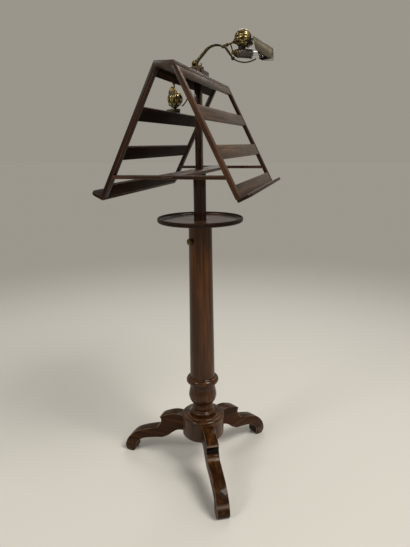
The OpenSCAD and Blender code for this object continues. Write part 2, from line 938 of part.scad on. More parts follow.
module hood_right() {
  color(shade) right_head() hood_shape();
}

module arm_left() {
  color(brass) left_side() at_arm(arm_down) arm_shape();
}

module knuckle_pin_left() {
  color(brass) left_side() at_yoke(arm_down, left_rod_angle) pin_shape();
}

module yoke_left() {
  color(brass) left_side() at_yoke(arm_down, left_rod_angle) yoke_shape(42, 4, 85);
}

module pull_knob_left() {
  color(black) left_side() at_yoke(arm_down, left_rod_angle)
    pull_knob_shape(42, 4, 85);
}

module head_rod_left() {
  color(brass) left_head() head_rod_shape();
}

module ball_left() {
  color(brass) left_head() ball_shape();
}

module cup_left() {
  color(brass) left_head() cup_shape();
}

module socket_left() {
  color(black) left_head() socket_shape();
}

module bulb_left() {
  color(glass) left_head() bulb_shape();
}

module collar_left() {
  color(brass) left_head() collar_shape();
}

module hood_left() {
  color(shade) left_head() hood_shape();
}

drum();
base_disc();
leg_front();
leg_left();
leg_right();
column();
tray();
tray_screws();
lock_insert();
lock_knob();
column_bush();
round_post();
square_post();
bearer();
bearer_screws();
stretcher_near();
stretcher_far();
top_board();
stile_right_near();
stile_right_far();
stile_left_near();
stile_left_far();
rail_top_right();
rail_top_left();
slat_upper_right();
slat_upper_left();
slat_lower_right();
slat_lower_left();
rail_low_right();
rail_low_left();
ledge_right();
ledge_left();
lamp_block();
lamp_feet();
lamp_pivots();
lamp_stays();
arm_right();
knuckle_pin_right();
yoke_right();
pull_knob_right();
head_rod_right();
ball_right();
cup_right();
socket_right();
bulb_right();
collar_right();
hood_right();
arm_left();
knuckle_pin_left();
yoke_left();
pull_knob_left();
head_rod_left();
ball_left();
cup_left();
socket_left();
bulb_left();
collar_left();
hood_left();
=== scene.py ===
import bpy
import math
from mathutils import Matrix, Vector


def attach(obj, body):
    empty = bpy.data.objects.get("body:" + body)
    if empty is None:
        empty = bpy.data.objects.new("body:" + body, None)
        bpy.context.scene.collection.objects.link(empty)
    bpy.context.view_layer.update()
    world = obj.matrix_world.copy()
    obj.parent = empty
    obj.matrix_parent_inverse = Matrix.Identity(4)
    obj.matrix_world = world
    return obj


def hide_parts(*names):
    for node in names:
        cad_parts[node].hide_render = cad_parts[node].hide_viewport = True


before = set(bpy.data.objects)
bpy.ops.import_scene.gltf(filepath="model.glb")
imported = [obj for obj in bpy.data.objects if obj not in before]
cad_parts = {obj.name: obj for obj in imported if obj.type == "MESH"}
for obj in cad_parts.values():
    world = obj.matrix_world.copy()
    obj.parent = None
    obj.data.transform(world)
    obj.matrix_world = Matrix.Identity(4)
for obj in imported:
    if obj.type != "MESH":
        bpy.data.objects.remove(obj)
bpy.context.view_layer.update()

scene = bpy.context.scene
scene.view_settings.view_transform = "Standard"

# The camera stands where the photographer stood: a little to the right of the racks' near end,
# 1.15 m above the floor and 1.6 m from the column, tipped down. Its focal length and the picture's
# long side are given in pixels.
eye = Vector((-1.53442, -0.43449, 1.14785))
turn, pitch, roll = math.radians(15.324), math.radians(14.805), math.radians(-0.717)
ahead = Vector((math.cos(turn) * math.cos(pitch), math.sin(turn) * math.cos(pitch), -math.sin(pitch)))
side = ahead.cross(Vector((0, 0, 1))).normalized()
over = side.cross(ahead)
right = math.cos(roll) * side + math.sin(roll) * over
up = -math.sin(roll) * side + math.cos(roll) * over
lens_data = bpy.data.cameras.new("photo_camera")
lens_data.sensor_fit = "AUTO"
focal_length, long_side = 488.89, 547
lens_data.sensor_width = 36
lens_data.lens = focal_length * lens_data.sensor_width / long_side
lens_data.clip_start, lens_data.clip_end = 0.01, 100
camera = bpy.data.objects.new("photo_camera", lens_data)
scene.collection.objects.link(camera)
camera.matrix_world = Matrix((
    (right.x, up.x, -ahead.x, eye.x),
    (right.y, up.y, -ahead.y, eye.y),
    (right.z, up.z, -ahead.z, eye.z),
    (0, 0, 0, 1),
))
scene.camera = camera

# The studio: a plain pale grey-beige floor that fades into the same colour behind, with a soft window-like
# light high on the right and a weaker one from the left front. None of it belongs to the stand.
def in_view(nodes, links):
    # 1 on a ray from the camera, and on one that leaves glass or polish for the room
    rays = nodes.new("ShaderNodeLightPath")
    seen = rays.outputs["Is Camera Ray"]
    for kind in ("Is Transmission Ray", "Is Glossy Ray"):
        larger = nodes.new("ShaderNodeMath")
        larger.operation = "MAXIMUM"
        links.new(seen, larger.inputs[0])
        links.new(rays.outputs[kind], larger.inputs[1])
        seen = larger.outputs["Value"]
    return seen


bpy.ops.object.select_all(action="DESELECT")
bpy.ops.mesh.primitive_plane_add(size=60, location=(0, 0, 0))
floor = bpy.context.object
floor.name = "studio_floor"
floor_look = bpy.data.materials.new("studio_floor_paint")
floor_look.use_nodes = True
nodes, links = floor_look.node_tree.nodes, floor_look.node_tree.links
paint = nodes["Principled BSDF"]
paint.inputs["Base Color"].default_value = (0.69, 0.66, 0.590, 1)
paint.inputs["Roughness"].default_value = 0.9
paint.inputs["Specular IOR Level"].default_value = 0.1
place = nodes.new("ShaderNodeTexCoord")
reach = nodes.new("ShaderNodeVectorMath")
reach.operation = "LENGTH"
links.new(place.outputs["Object"], reach.inputs[0])
fade = nodes.new("ShaderNodeMapRange")
fade.interpolation_type = "SMOOTHSTEP"
fade.inputs["From Min"].default_value = 0.55
fade.inputs["From Max"].default_value = 2.6
links.new(reach.outputs["Value"], fade.inputs["Value"])
far_tone = nodes.new("ShaderNodeMapRange")
far_tone.interpolation_type = "SMOOTHSTEP"
far_tone.inputs["From Min"].default_value = 0.9
far_tone.inputs["From Max"].default_value = 3.6
links.new(reach.outputs["Value"], far_tone.inputs["Value"])
tone = nodes.new("ShaderNodeMix")
tone.data_type = "RGBA"
tone.inputs["A"].default_value = (0.580, 0.552, 0.490, 1)
tone.inputs["B"].default_value = (0.335, 0.312, 0.270, 1)
links.new(far_tone.outputs["Result"], tone.inputs["Factor"])
haze_glow = nodes.new("ShaderNodeEmission")
links.new(tone.outputs["Result"], haze_glow.inputs["Color"])
how_far = nodes.new("ShaderNodeMath")
how_far.operation = "MULTIPLY"
links.new(fade.outputs["Result"], how_far.inputs[0])
links.new(in_view(nodes, links), how_far.inputs[1])
join = nodes.new("ShaderNodeMixShader")
links.new(how_far.outputs["Value"], join.inputs["Fac"])
links.new(paint.outputs["BSDF"], join.inputs[1])
links.new(haze_glow.outputs["Emission"], join.inputs[2])
links.new(join.outputs["Shader"], nodes["Material Output"].inputs["Surface"])
floor.data.materials.append(floor_look)

world = bpy.data.worlds.new("studio_air")
scene.world = world
world.use_nodes = True
nodes, links = world.node_tree.nodes, world.node_tree.links
room = nodes["Background"]
room.inputs["Color"].default_value = (0.80, 0.79, 0.77, 1)
room.inputs["Strength"].default_value = 0.31
sky = nodes.new("ShaderNodeBackground")
sky.inputs["Color"].default_value = (0.325, 0.303, 0.262, 1)
sky.inputs["Strength"].default_value = 1.0
pick = nodes.new("ShaderNodeMixShader")
links.new(in_view(nodes, links), pick.inputs["Fac"])
links.new(room.outputs["Background"], pick.inputs[1])
links.new(sky.outputs["Background"], pick.inputs[2])
links.new(pick.outputs["Shader"], nodes["World Output"].inputs["Surface"])

for name, place, size, power, tint in (
    ("window_light", (-1.35, -2.95, 4.45), 1.9, 190, (1.0, 0.98, 0.95)),
    ("front_light", (-2.6, 1.8, 2.8), 1.0, 36, (1.0, 0.98, 0.95)),
    ("back_light", (2.4, 0.3, 3.0), 1.6, 24, (1.0, 0.98, 0.96)),
):
    panel = bpy.data.lights.new(name, "AREA")
    panel.shape = "SQUARE"
    panel.size = size
    panel.energy = power
    panel.color = tint
    lamp = bpy.data.objects.new(name, panel)
    scene.collection.objects.link(lamp)
    lamp.location = place
    lamp.rotation_euler = (Vector((0, 0, 0.8)) - Vector(place)).to_track_quat("-Z", "Y").to_euler()

# Drum: a turned block of solid mahogany, 150 mm across, that takes the three legs in mortises.
# Its lower edge is rounded over. The wood's grain runs up through it, under a worn french polish.
def new_look(name, settings):
    look = bpy.data.materials.new(name)
    look.use_nodes = True
    tree = look.node_tree
    surface = tree.nodes["Principled BSDF"]
    for socket, value in settings.items():
        surface.inputs[socket].default_value = value
    where = tree.nodes.new("ShaderNodeTexCoord")
    return look, tree, surface, where.outputs["Object"]


def noise(tree, point, scale, detail=2, rough=0.5, twist=0):
    made = tree.nodes.new("ShaderNodeTexNoise")
    made.inputs["Scale"].default_value = scale
    made.inputs["Detail"].default_value = detail
    made.inputs["Roughness"].default_value = rough
    made.inputs["Distortion"].default_value = twist
    tree.links.new(point, made.inputs["Vector"])
    return made.outputs["Fac"]


def ramp(tree, value, *stops):
    made = tree.nodes.new("ShaderNodeValToRGB")
    tree.links.new(value, made.inputs["Fac"])
    while len(made.color_ramp.elements) < len(stops):
        made.color_ramp.elements.new(0.5)
    for stop, (place, tone) in zip(made.color_ramp.elements, stops):
        stop.position = place
        stop.color = (*tone, 1)
    return made.outputs["Color"]


def span(tree, value, low, high, to_low=0, to_high=1):
    made = tree.nodes.new("ShaderNodeMapRange")
    made.inputs["From Min"].default_value = low
    made.inputs["From Max"].default_value = high
    made.inputs["To Min"].default_value = to_low
    made.inputs["To Max"].default_value = to_high
    tree.links.new(value, made.inputs["Value"])
    return made.outputs["Result"]


def blend(tree, kind, amount, first, second):
    made = tree.nodes.new("ShaderNodeMix")
    made.data_type = "RGBA"
    made.blend_type = kind
    for value, socket in ((amount, "Factor"), (first, "A"), (second, "B")):
        if isinstance(value, float):
            made.inputs[socket].default_value = value
        elif isinstance(value, tuple):
            made.inputs[socket].default_value = (*value, 1)
        else:
            tree.links.new(value, made.inputs[socket])
    return made.outputs["Result"]


def evenness(tree, radius, samples):
    # 1 where the surface runs on evenly, less where it turns over an edge
    soft = tree.nodes.new("ShaderNodeBevel")
    soft.samples = samples
    soft.inputs["Radius"].default_value = radius
    true = tree.nodes.new("ShaderNodeNewGeometry")
    same = tree.nodes.new("ShaderNodeVectorMath")
    same.operation = "DOT_PRODUCT"
    tree.links.new(soft.outputs["Normal"], same.inputs[0])
    tree.links.new(true.outputs["Normal"], same.inputs[1])
    return same.outputs["Value"]


def dents(tree, height, strength, depth):
    made = tree.nodes.new("ShaderNodeBump")
    made.inputs["Strength"].default_value = strength
    made.inputs["Distance"].default_value = depth
    tree.links.new(height, made.inputs["Height"])
    return made


def mahogany(name, lay, dark, mid, light, gloss=(0.24, 0.42), coat=0.28, film=0.09, shine=0.11,
             rubbed=(0.24, 0.14, 0.080)):
    look, tree, polish, where = new_look(name, {
        "Specular IOR Level": shine,
        "Coat Weight": coat,
        "Coat Roughness": film,
    })
    # the grain runs along X until lay turns it
    turned = tree.nodes.new("ShaderNodeMapping")
    turned.inputs["Rotation"].default_value = lay
    tree.links.new(where, turned.inputs["Vector"])

    def figure(stretch, detail, rough, twist):
        along = tree.nodes.new("ShaderNodeMapping")
        along.inputs["Scale"].default_value = stretch
        tree.links.new(turned.outputs["Vector"], along.inputs["Vector"])
        return noise(tree, along.outputs["Vector"], 1, detail, rough, twist)

    streak = figure((4.0, 95.0, 95.0), 5, 0.6, 0.6)
    ribbon = figure((2.2, 17.0, 17.0), 3, 0.5, 1.2)
    pores = figure((190.0, 2600.0, 2600.0), 2, 0.5, 0.0)
    haze = figure((14.0, 14.0, 14.0), 4, 0.6, 0.4)
    wood = ramp(tree, streak, (0.30, dark), (0.52, mid), (0.72, light))
    bands = ramp(tree, ribbon, (0.32, (0.45, 0.42, 0.40)), (0.66, (1.35, 1.25, 1.15)))
    wood = blend(tree, "MULTIPLY", 0.75, wood, bands)
    flecks = ramp(tree, pores, (0.36, (0.35, 0.30, 0.28)), (0.46, (1, 1, 1)))
    wood = blend(tree, "MULTIPLY", 0.55, wood, flecks)

    # the edges are paler: partly polish worn thin to paler wood, partly a painted highlight along them
    arris_wear_and_highlight = ramp(tree, evenness(tree, 0.0022, 6), (0.80, (1, 1, 1)), (0.985, (0, 0, 0)))
    patchy = ramp(tree, haze, (0.34, (0, 0, 0)), (0.56, (1, 1, 1)))
    worn = blend(tree, "MULTIPLY", 1.0, arris_wear_and_highlight, patchy)
    tree.links.new(blend(tree, "MIX", worn, wood, rubbed), polish.inputs["Base Color"])
    tree.links.new(span(tree, haze, 0, 1, *gloss), polish.inputs["Roughness"])

    # open pores, and a slight ripple along the grain
    bump = dents(tree, pores, 0.10, 0.0004)
    ripple = dents(tree, streak, 0.12, 0.0012)
    tree.links.new(bump.outputs["Normal"], ripple.inputs["Normal"])
    tree.links.new(ripple.outputs["Normal"], polish.inputs["Normal"])
    return look


upright = (0, math.pi / 2, 0)
turned_wood = mahogany("turned_mahogany", upright, (0.0240, 0.0086, 0.0024), (0.054, 0.0195, 0.0047),
                       (0.104, 0.0400, 0.0098), coat=0.38, film=0.06)
bpy.ops.object.select_all(action="DESELECT")
bpy.ops.mesh.primitive_cylinder_add(vertices=160, radius=0.075, depth=0.065, location=(0, 0, 0.1545))
drum = bpy.context.object
drum.name = "drum_block"
bpy.ops.object.transform_apply(location=True, rotation=True, scale=True)
bpy.ops.object.mode_set(mode="EDIT")
bpy.ops.mesh.select_mode(type="FACE")
bpy.ops.mesh.select_all(action="DESELECT")
bpy.ops.object.mode_set(mode="OBJECT")
for face in drum.data.polygons:
    face.select = face.normal.z < -0.9
bpy.ops.object.mode_set(mode="EDIT")
bpy.ops.mesh.bevel(offset=0.009, offset_type="OFFSET", segments=6, profile=0.5, affect="EDGES")
bpy.ops.object.mode_set(mode="OBJECT")
for face in drum.data.polygons:
    face.select = face.normal.z < -0.999 and face.area > 0.005
bpy.ops.object.mode_set(mode="EDIT")
bpy.ops.mesh.inset(thickness=0.010, depth=0)
bpy.ops.mesh.inset(thickness=0.003, depth=-0.0015)
bpy.ops.mesh.inset(thickness=0.003, depth=0.0015)
bpy.ops.object.mode_set(mode="OBJECT")
bpy.ops.object.shade_smooth_by_angle(angle=math.radians(35))
drum.data.materials.append(turned_wood)
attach(drum, "base")
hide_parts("drum")

# Moulded disc: a turned mahogany ring that caps the drum and hides the tops of the legs. A square fillet,
# a fat bead and a small bead run round its edge. The column's foot passes down through its middle.
def bow(cx, cz, r, start, end, steps):
    # points along an arc, in mm, its two ends given in degrees
    return [(cx + r * math.cos(math.radians(start + (end - start) * k / steps)),
             cz + r * math.sin(math.radians(start + (end - start) * k / steps))) for k in range(steps + 1)]


def drawn_line(name, points, unit):
    # a piece's outline, drawn from point to point in the XZ plane and left open in edit mode
    bpy.ops.object.select_all(action="DESELECT")
    bpy.ops.mesh.primitive_plane_add(size=0.001)
    piece = bpy.context.object
    piece.name = name
    bpy.ops.object.mode_set(mode="EDIT")
    bpy.ops.mesh.select_mode(type="VERT")
    bpy.ops.mesh.select_all(action="SELECT")
    bpy.ops.mesh.merge(type="CENTER")
    x, z = points[0]
    bpy.ops.transform.translate(value=(x / unit, 0, z / unit))
    for nx, nz in points[1:]:
        onward = ((nx - x) / unit, 0, (nz - z) / unit)
        bpy.ops.mesh.extrude_region_move(TRANSFORM_OT_translate={"value": onward})
        x, z = nx, nz
    bpy.ops.mesh.select_all(action="SELECT")
    return piece


def turned_piece(name, profile, look, steps=144):
    # the profile's points are radius and height in mm, turned about the upright axis
    piece = drawn_line(name, profile, 1000)
    bpy.ops.mesh.spin(steps=steps, angle=2 * math.pi, center=(0, 0, 0), axis=(0, 0, 1))
    bpy.ops.mesh.select_all(action="SELECT")
    bpy.ops.mesh.remove_doubles(threshold=0.00002)
    bpy.ops.mesh.normals_make_consistent(inside=False)
    bpy.ops.object.mode_set(mode="OBJECT")
    bpy.ops.object.shade_smooth_by_angle(angle=math.radians(38))
    piece.data.materials.append(look)
    return piece


disc_edge = ([(22.3, 187), (74.9, 187), (75.5, 187.6), (75.5, 191.0), (75.0, 191.4), (73.6, 191.5)]
             + bow(69, 197.5, 7.5, -50, 92, 14) + [(64.0, 205.2), (62.2, 204.6), (61.4, 203.6)]
             + bow(56.5, 203, 5, 8, 90, 8) + [(51.6, 207.6), (50.6, 207), (22.3, 207), (22.3, 187)])
disc = turned_piece("moulded_disc", disc_edge, turned_wood)
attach(disc, "base")
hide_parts("base_disc")

# Legs: three sawn and shaped mahogany brackets, 42 mm thick, tenoned into the drum. Each arches out to a
# sharp nose, drops in a hollow step and runs on to a scroll toe, with a spiral cut into both cheeks.
def smooth_line(points, steps):
    # a fair curve through all the points, as a bent batten takes
    line = []
    for i in range(len(points) - 1):
        a, b = points[max(i - 1, 0)], points[i]
        c, d = points[i + 1], points[min(i + 2, len(points) - 1)]
        for k in range(steps):
            t = k / steps
            line.append(tuple(
                0.5 * (2 * q + (r - p) * t + (2 * p - 5 * q + 4 * r - w) * t * t
                       + (3 * q - p - 3 * r + w) * t ** 3)
                for p, q, r, w in zip(a, b, c, d)))
    return line + [tuple(points[-1])]


def take_up(piece):
    bpy.ops.object.select_all(action="DESELECT")
    piece.select_set(True)
    bpy.context.view_layer.objects.active = piece


def cut_away(piece, tool, name):
    take_up(piece)
    cut = piece.modifiers.new(name, "BOOLEAN")
    cut.object = tool
    cut.operation = "DIFFERENCE"
    cut.solver = "EXACT"
    bpy.ops.object.modifier_apply(modifier=name)
    bpy.data.objects.remove(tool)


def mark(piece, name, where, values):
    piece.data.attributes.new(name, "FLOAT", where).data.foreach_set("value", values)


def marked(tree, name):
    made = tree.nodes.new("ShaderNodeAttribute")
    made.attribute_name = name
    return made.outputs["Fac"]


leg_thick = 0.042
toe_x, toe_z, toe_r = 0.291, 0.0195, 0.021
leg_top = smooth_line([(0.070, 0.1870), (0.080, 0.1893), (0.097, 0.191), (0.117, 0.188), (0.136, 0.181),
                       (0.152, 0.174), (0.164, 0.167)], 6)
leg_riser = smooth_line([(0.164, 0.167), (0.160, 0.161), (0.1585, 0.152), (0.1605, 0.142), (0.165, 0.135)], 5)
leg_step = smooth_line([(0.1665, 0.134), (0.171, 0.127), (0.180, 0.1195), (0.201, 0.113), (0.236, 0.101),
                        (0.267, 0.087), (0.288, 0.069), (0.304, 0.047), (0.3112, 0.0270)], 6)
toe_arc = [(toe_x + toe_r * math.cos(a), toe_z + toe_r * math.sin(a))
           for a in (math.radians(14 - 9 * k) for k in range(1, 24))]
toe_arc = [(x, max(z, 0.0)) for x, z in toe_arc if z < 0.027]
leg_under = smooth_line([(0.2704, 0.0235), (0.265, 0.038), (0.254, 0.052), (0.235, 0.064), (0.207, 0.073),
                         (0.181, 0.079), (0.156, 0.084), (0.133, 0.096), (0.115, 0.112), (0.096, 0.125),
                         (0.080, 0.129), (0.070, 0.129)], 6)
leg_outline = leg_top + leg_riser[1:] + leg_step + toe_arc + leg_under

# where painted highlight lines lie on the nose, the riser's foot and the toe, and the band of the riser that
# is painted near black as shade, out from the middle and up
leg_nose, leg_tread, leg_toe = (0.164, 0.168), (0.173, 0.126), (0.305, 0.045)
riser_shade_x, riser_shade_z = (0.156, 0.1635), (0.140, 0.1635)


def carved_leg(name, node, degrees, look):
    turn = math.radians(degrees)
    leg = drawn_line(name, leg_outline, 1)
    bpy.ops.transform.translate(value=(0, -leg_thick / 2, 0))
    bpy.ops.mesh.remove_doubles(threshold=0.00005)
    bpy.ops.mesh.edge_face_add()
    bpy.ops.mesh.extrude_region_move(TRANSFORM_OT_translate={"value": (0, leg_thick, 0)})
    bpy.ops.mesh.select_all(action="SELECT")
    bpy.ops.mesh.normals_make_consistent(inside=False)
    bpy.ops.object.mode_set(mode="OBJECT")

    # the spiral, cut 1.4 mm deep into both cheeks of the toe
    for cheek in (-1, 1):
        bpy.ops.object.select_all(action="DESELECT")
        bpy.ops.curve.primitive_bezier_curve_add()
        gouge = bpy.context.object
        gouge.data.splines.clear()
        spiral = gouge.data.splines.new("POLY")
        turns = [math.radians(75 - 12 * k) for k in range(54)]
        spiral.points.add(len(turns) - 1)
        for k, (point, a) in enumerate(zip(spiral.points, turns)):
            reach = 0.0172 - 0.0134 * k / (len(turns) - 1)
            point.co = (toe_x + reach * math.cos(a), cheek * leg_thick / 2,
                        toe_z + 0.0008 + reach * math.sin(a), 1)
        gouge.data.bevel_depth = 0.0014
        gouge.data.bevel_resolution = 2
        gouge.data.use_fill_caps = True
        bpy.ops.object.convert(target="MESH")
        cut_away(leg, bpy.context.object, "spiral")

    round_over = leg.modifiers.new("round_over", "BEVEL")
    round_over.width = 0.0022
    round_over.segments = 3
    round_over.limit_method = "ANGLE"
    round_over.angle_limit = math.radians(50)
    bpy.ops.object.modifier_apply(modifier="round_over")
    bpy.ops.object.mode_set(mode="EDIT")
    bpy.ops.mesh.select_all(action="SELECT")
    bpy.ops.transform.rotate(value=-turn, orient_axis="Z", center_override=(0, 0, 0))
    bpy.ops.object.mode_set(mode="OBJECT")
    bpy.ops.object.shade_smooth_by_angle(angle=math.radians(32))

    # on its upper side, the riser of the step is painted near black as shade, and pale painted highlights lie
    # along the nose, the riser's foot and the toe
    painted_riser_shade, painted_glint_lines = ([0.0] * len(leg.data.loops) for _ in range(2))
    for face in leg.data.polygons:
        if abs(face.normal.y * math.cos(turn) - face.normal.x * math.sin(turn)) < 0.3:
            for i in face.loop_indices:
                point = leg.data.vertices[leg.data.loops[i].vertex_index].co
                x, z = point.x * math.cos(turn) + point.y * math.sin(turn), point.z
                near = min(math.hypot(x - a, z - b) for a, b in (leg_nose, leg_tread, leg_toe))
                painted_glint_lines[i] = max(0.0, 0.6 - 80 * near)
                painted_riser_shade[i] = float(riser_shade_x[0] < x < riser_shade_x[1] and riser_shade_z[0] < z < riser_shade_z[1])
    mark(leg, "painted_riser_shade", "CORNER", painted_riser_shade)
    mark(leg, "painted_glint_lines", "CORNER", painted_glint_lines)
    leg.data.materials.append(look)
    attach(leg, "base")
    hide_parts(node)


leg_tones = ((0.0115, 0.0045, 0.0014), (0.041, 0.0155, 0.0040), (0.100, 0.040, 0.0105))
front_leg_turn = 207
for which, degrees in (
    ("front", front_leg_turn),
    ("left", front_leg_turn - 120),
    ("right", front_leg_turn + 120),
):
    name = f"leg_{which}_carved"
    grain = (0, 0, -math.radians(degrees))
    leg_wood = mahogany(name + "_mahogany", grain, *leg_tones, coat=0.12, shine=0.04,
                        rubbed=(0.44, 0.32, 0.23))
    tree = leg_wood.node_tree
    tone_in = tree.nodes["Principled BSDF"].inputs["Base Color"]
    # the pale tone is a painted highlight, and the near-black one is painted shade on the riser
    for kind, tone in (("painted_glint_lines", (0.26, 0.19, 0.135)), ("painted_riser_shade", (0.004, 0.002, 0.001))):
        below = tone_in.links[0].from_socket
        tree.links.new(blend(tree, "MIX", marked(tree, kind), below, tone), tone_in)
    carved_leg(name, f"leg_{which}", degrees, leg_wood)

# Column: one turned mahogany post, 0.7 m tall, bored for the sliding post. From the foot up it has a cord
# moulding, a waist, a long bulb, a heavy ring and a plain tapering shaft with a small bead under the tray.
column_side = ([(0, 136), (22, 136), (22, 207), (37.2, 207), (37.6, 207.6)]
               + bow(35, 212, 8.5, -48, 64, 12)
               + [(36.0, 221.2), (35.2, 222.4), (35.2, 225.6), (36.6, 228.8), (37.5, 233), (37.2, 237),
                  (35.6, 240.6), (34.2, 243), (34, 246), (35, 248.4), (37, 250), (39.2, 252.6), (41.5, 256),
                  (43.8, 259.5), (45.5, 263), (47.2, 267), (48.3, 271), (49.1, 275.5), (49.3, 280),
                  (49.1, 284.5), (48.6, 289), (47.8, 293.5), (46.8, 298), (45.7, 303), (44.6, 308),
                  (43.9, 313), (43.6, 318), (43.6, 326.2), (44.4, 327.0), (47.2, 327.4)]
               + bow(44.5, 338, 12.5, -58, 58, 16)
               + [(47.2, 348.8), (44.4, 349.2), (43.5, 350.2), (42.6, 450), (41.6, 550), (40.6, 650),
                  (39.6, 750), (38.9, 840), (38.5, 892.6), (37.4, 893.2)]
               + bow(37, 898.5, 4.5, -80, 80, 10)
               + [(37.2, 903), (27.5, 903), (26.6, 902.2), (26.1, 901), (26.1, 858), (21, 857.5),
                  (21, 334), (0, 334)])
column = turned_piece("turned_column", column_side, turned_wood)
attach(column, "base")
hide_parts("column")

# Tray: a round mahogany dish, 281 mm across, turned from one board and screwed down on the column's top.
# Its rim stands up with a rolled lip and is given a darker copy of the tray's mahogany. Three countersunk
# brass screws lie in its floor.
tray_wood = mahogany("tray_mahogany", (0, 0, 0.5), (0.0135, 0.0062, 0.0036), (0.043, 0.0185, 0.0088),
                     (0.094, 0.041, 0.0190), shine=0.32)
rim_wood = mahogany("tray_rim_mahogany", (0, 0, 0.5), (0.0060, 0.0026, 0.0014), (0.0185, 0.0074, 0.0033),
                    (0.042, 0.0165, 0.0068), gloss=(0.34, 0.54), coat=0.08, film=0.2)
tray_side = ([(21.8, 903.1), (133.0, 903.1)] + bow(134.5, 909, 5.9, -78, -8, 7)
             + [(140.5, 909.6), (140.5, 914.6), (139.9, 915.0)] + bow(137.5, 915.1, 2.9, -4, 184, 14)
             + [(134.5, 914.4), (134.5, 914.0)] + bow(128.5, 914, 6, 0, -90, 8)
             + [(21.8, 908.0), (21.8, 903.1)])
rim_starts, screw_ring = 0.1345, 0.03225
screw_turns = [math.radians(front_leg_turn + 120 * k) for k in range(3)]
screw_places = [(screw_ring * math.cos(a), screw_ring * math.sin(a)) for a in screw_turns]
tray = turned_piece("turned_tray", tray_side, tray_wood, 192)
for x, y in screw_places:
    bpy.ops.object.select_all(action="DESELECT")
    bpy.ops.mesh.primitive_cylinder_add(vertices=32, radius=0.0040, depth=0.004, location=(x, y, 0.9082))
    cut_away(tray, bpy.context.object, "recess")
tray.data.materials.append(rim_wood)
for face in tray.data.polygons:
    if math.hypot(face.center.x, face.center.y) > rim_starts:
        face.material_index = 1
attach(tray, "base")
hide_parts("tray")

# Sliding post: a plain mahogany dowel, 41 mm thick, that carries the racks and runs in the brass bush.
# Years of sliding have rubbed its polish thin.
post_wood = mahogany("post_mahogany", upright, (0.0075, 0.0032, 0.0020), (0.024, 0.0095, 0.0045),
                     (0.058, 0.022, 0.0095))
post = turned_piece("sliding_post", [(0, 470), (18.9, 470), (20.4, 471.5), (20.4, 1060), (9, 1060), (9, 1095),
                                     (8, 1096), (0, 1096)], post_wood)
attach(post, "desk")
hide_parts("round_post")

# Square post: a 21 mm square mahogany upright, planed, with its corners eased. It stands on the bearer
# over the round post's pin and is tenoned into the underside of the top board.
rack_slope = math.radians(26.5)
ridge_half, ridge_under, ridge_top = 0.026, 1.337, 1.350


def planed_board(name, node, low, high, look, lean=0, ease=0.0012, shape=None):
    # low and high are two corners; a board that leans is measured down from the ridge's edge, and then
    # swung out to the left rack (1) or the right one (-1)
    bpy.ops.object.select_all(action="DESELECT")
    middle = [(a + b) / 2 for a, b in zip(low, high)]
    bpy.ops.mesh.primitive_cube_add(size=1, location=middle, scale=[b - a for a, b in zip(low, high)])
    board = bpy.context.object
    board.name = name
    bpy.ops.object.transform_apply(location=True, rotation=True, scale=True)
    bpy.ops.object.mode_set(mode="EDIT")
    bpy.ops.mesh.select_mode(type="FACE")
    bpy.ops.mesh.select_all(action="DESELECT")
    bpy.ops.object.mode_set(mode="OBJECT")
    if shape:
        shape(board)
    if lean:
        bpy.ops.object.mode_set(mode="EDIT")
        bpy.ops.mesh.select_all(action="SELECT")
        if lean < 0:
            bpy.ops.transform.mirror(constraint_axis=(False, True, False), center_override=(0, 0, 0))
            bpy.ops.mesh.normals_make_consistent(inside=False)
        bpy.ops.transform.rotate(value=-lean * rack_slope, orient_axis="X", center_override=(0, 0, 0))
        bpy.ops.transform.translate(value=(0, lean * ridge_half, ridge_top))
        bpy.ops.mesh.bisect(plane_co=(0, 0, ridge_under), plane_no=(0, 0, 1), use_fill=True, clear_outer=True)
        bpy.ops.object.mode_set(mode="OBJECT")
    eased = board.modifiers.new("eased", "BEVEL")
    eased.width = ease
    eased.segments = 2
    eased.limit_method = "ANGLE"
    eased.angle_limit = math.radians(25)
    bpy.ops.object.modifier_apply(modifier="eased")
    bpy.ops.object.shade_smooth_by_angle(angle=math.radians(30))
    board.data.materials.append(look)
    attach(board, "desk")
    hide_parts(node)
    return board


planed_board("square_upright", "square_post", (-0.0105, -0.0105, 1.070), (0.0105, 0.0105, ridge_under),
             post_wood, ease=0.0016)

# Inner frame: a flat bearer board runs end to end, tenoned through two cross stretchers that lie in shallow
# housings behind the rack stiles. Four slotted brass screws hold the bearer to the posts' pin block.
board_tones = ((0.0115, 0.0054, 0.0030), (0.034, 0.0155, 0.0078), (0.074, 0.0335, 0.0165))
board_wood = mahogany("rack_board_mahogany", (0, 0, 0), *board_tones, gloss=(0.38, 0.60), coat=0.12,
                      film=0.22, shine=0.42)
cross_wood = mahogany("stretcher_mahogany", (0, 0, -math.pi / 2), *board_tones, gloss=(0.38, 0.60),
                      coat=0.10, film=0.22)


def bearer_tenons(board):
    for end in (-1, 1):
        for face in board.data.polygons:
            face.select = face.normal.x * end > 0.9
        bpy.ops.object.mode_set(mode="EDIT")
        bpy.ops.mesh.inset(thickness=0.0025, depth=0)
        bpy.ops.transform.resize(value=(1, 0.51, 1), center_override=(0, 0, 1.065))
        bpy.ops.mesh.extrude_region_move(TRANSFORM_OT_translate={"value": (end * 0.030, 0, 0)})
        bpy.ops.mesh.select_all(action="DESELECT")
        bpy.ops.object.mode_set(mode="OBJECT")


def widen_underside(board, widening, z):
    for face in board.data.polygons:
        face.select = face.normal.z < -0.9
    bpy.ops.object.mode_set(mode="EDIT")
    bpy.ops.transform.resize(value=(1, widening, 1), center_override=(0, 0, z))
    bpy.ops.mesh.select_all(action="DESELECT")
    bpy.ops.object.mode_set(mode="OBJECT")


def splayed_ends(board):
    widen_underside(board, 161.6 / 156.6, 1.06)


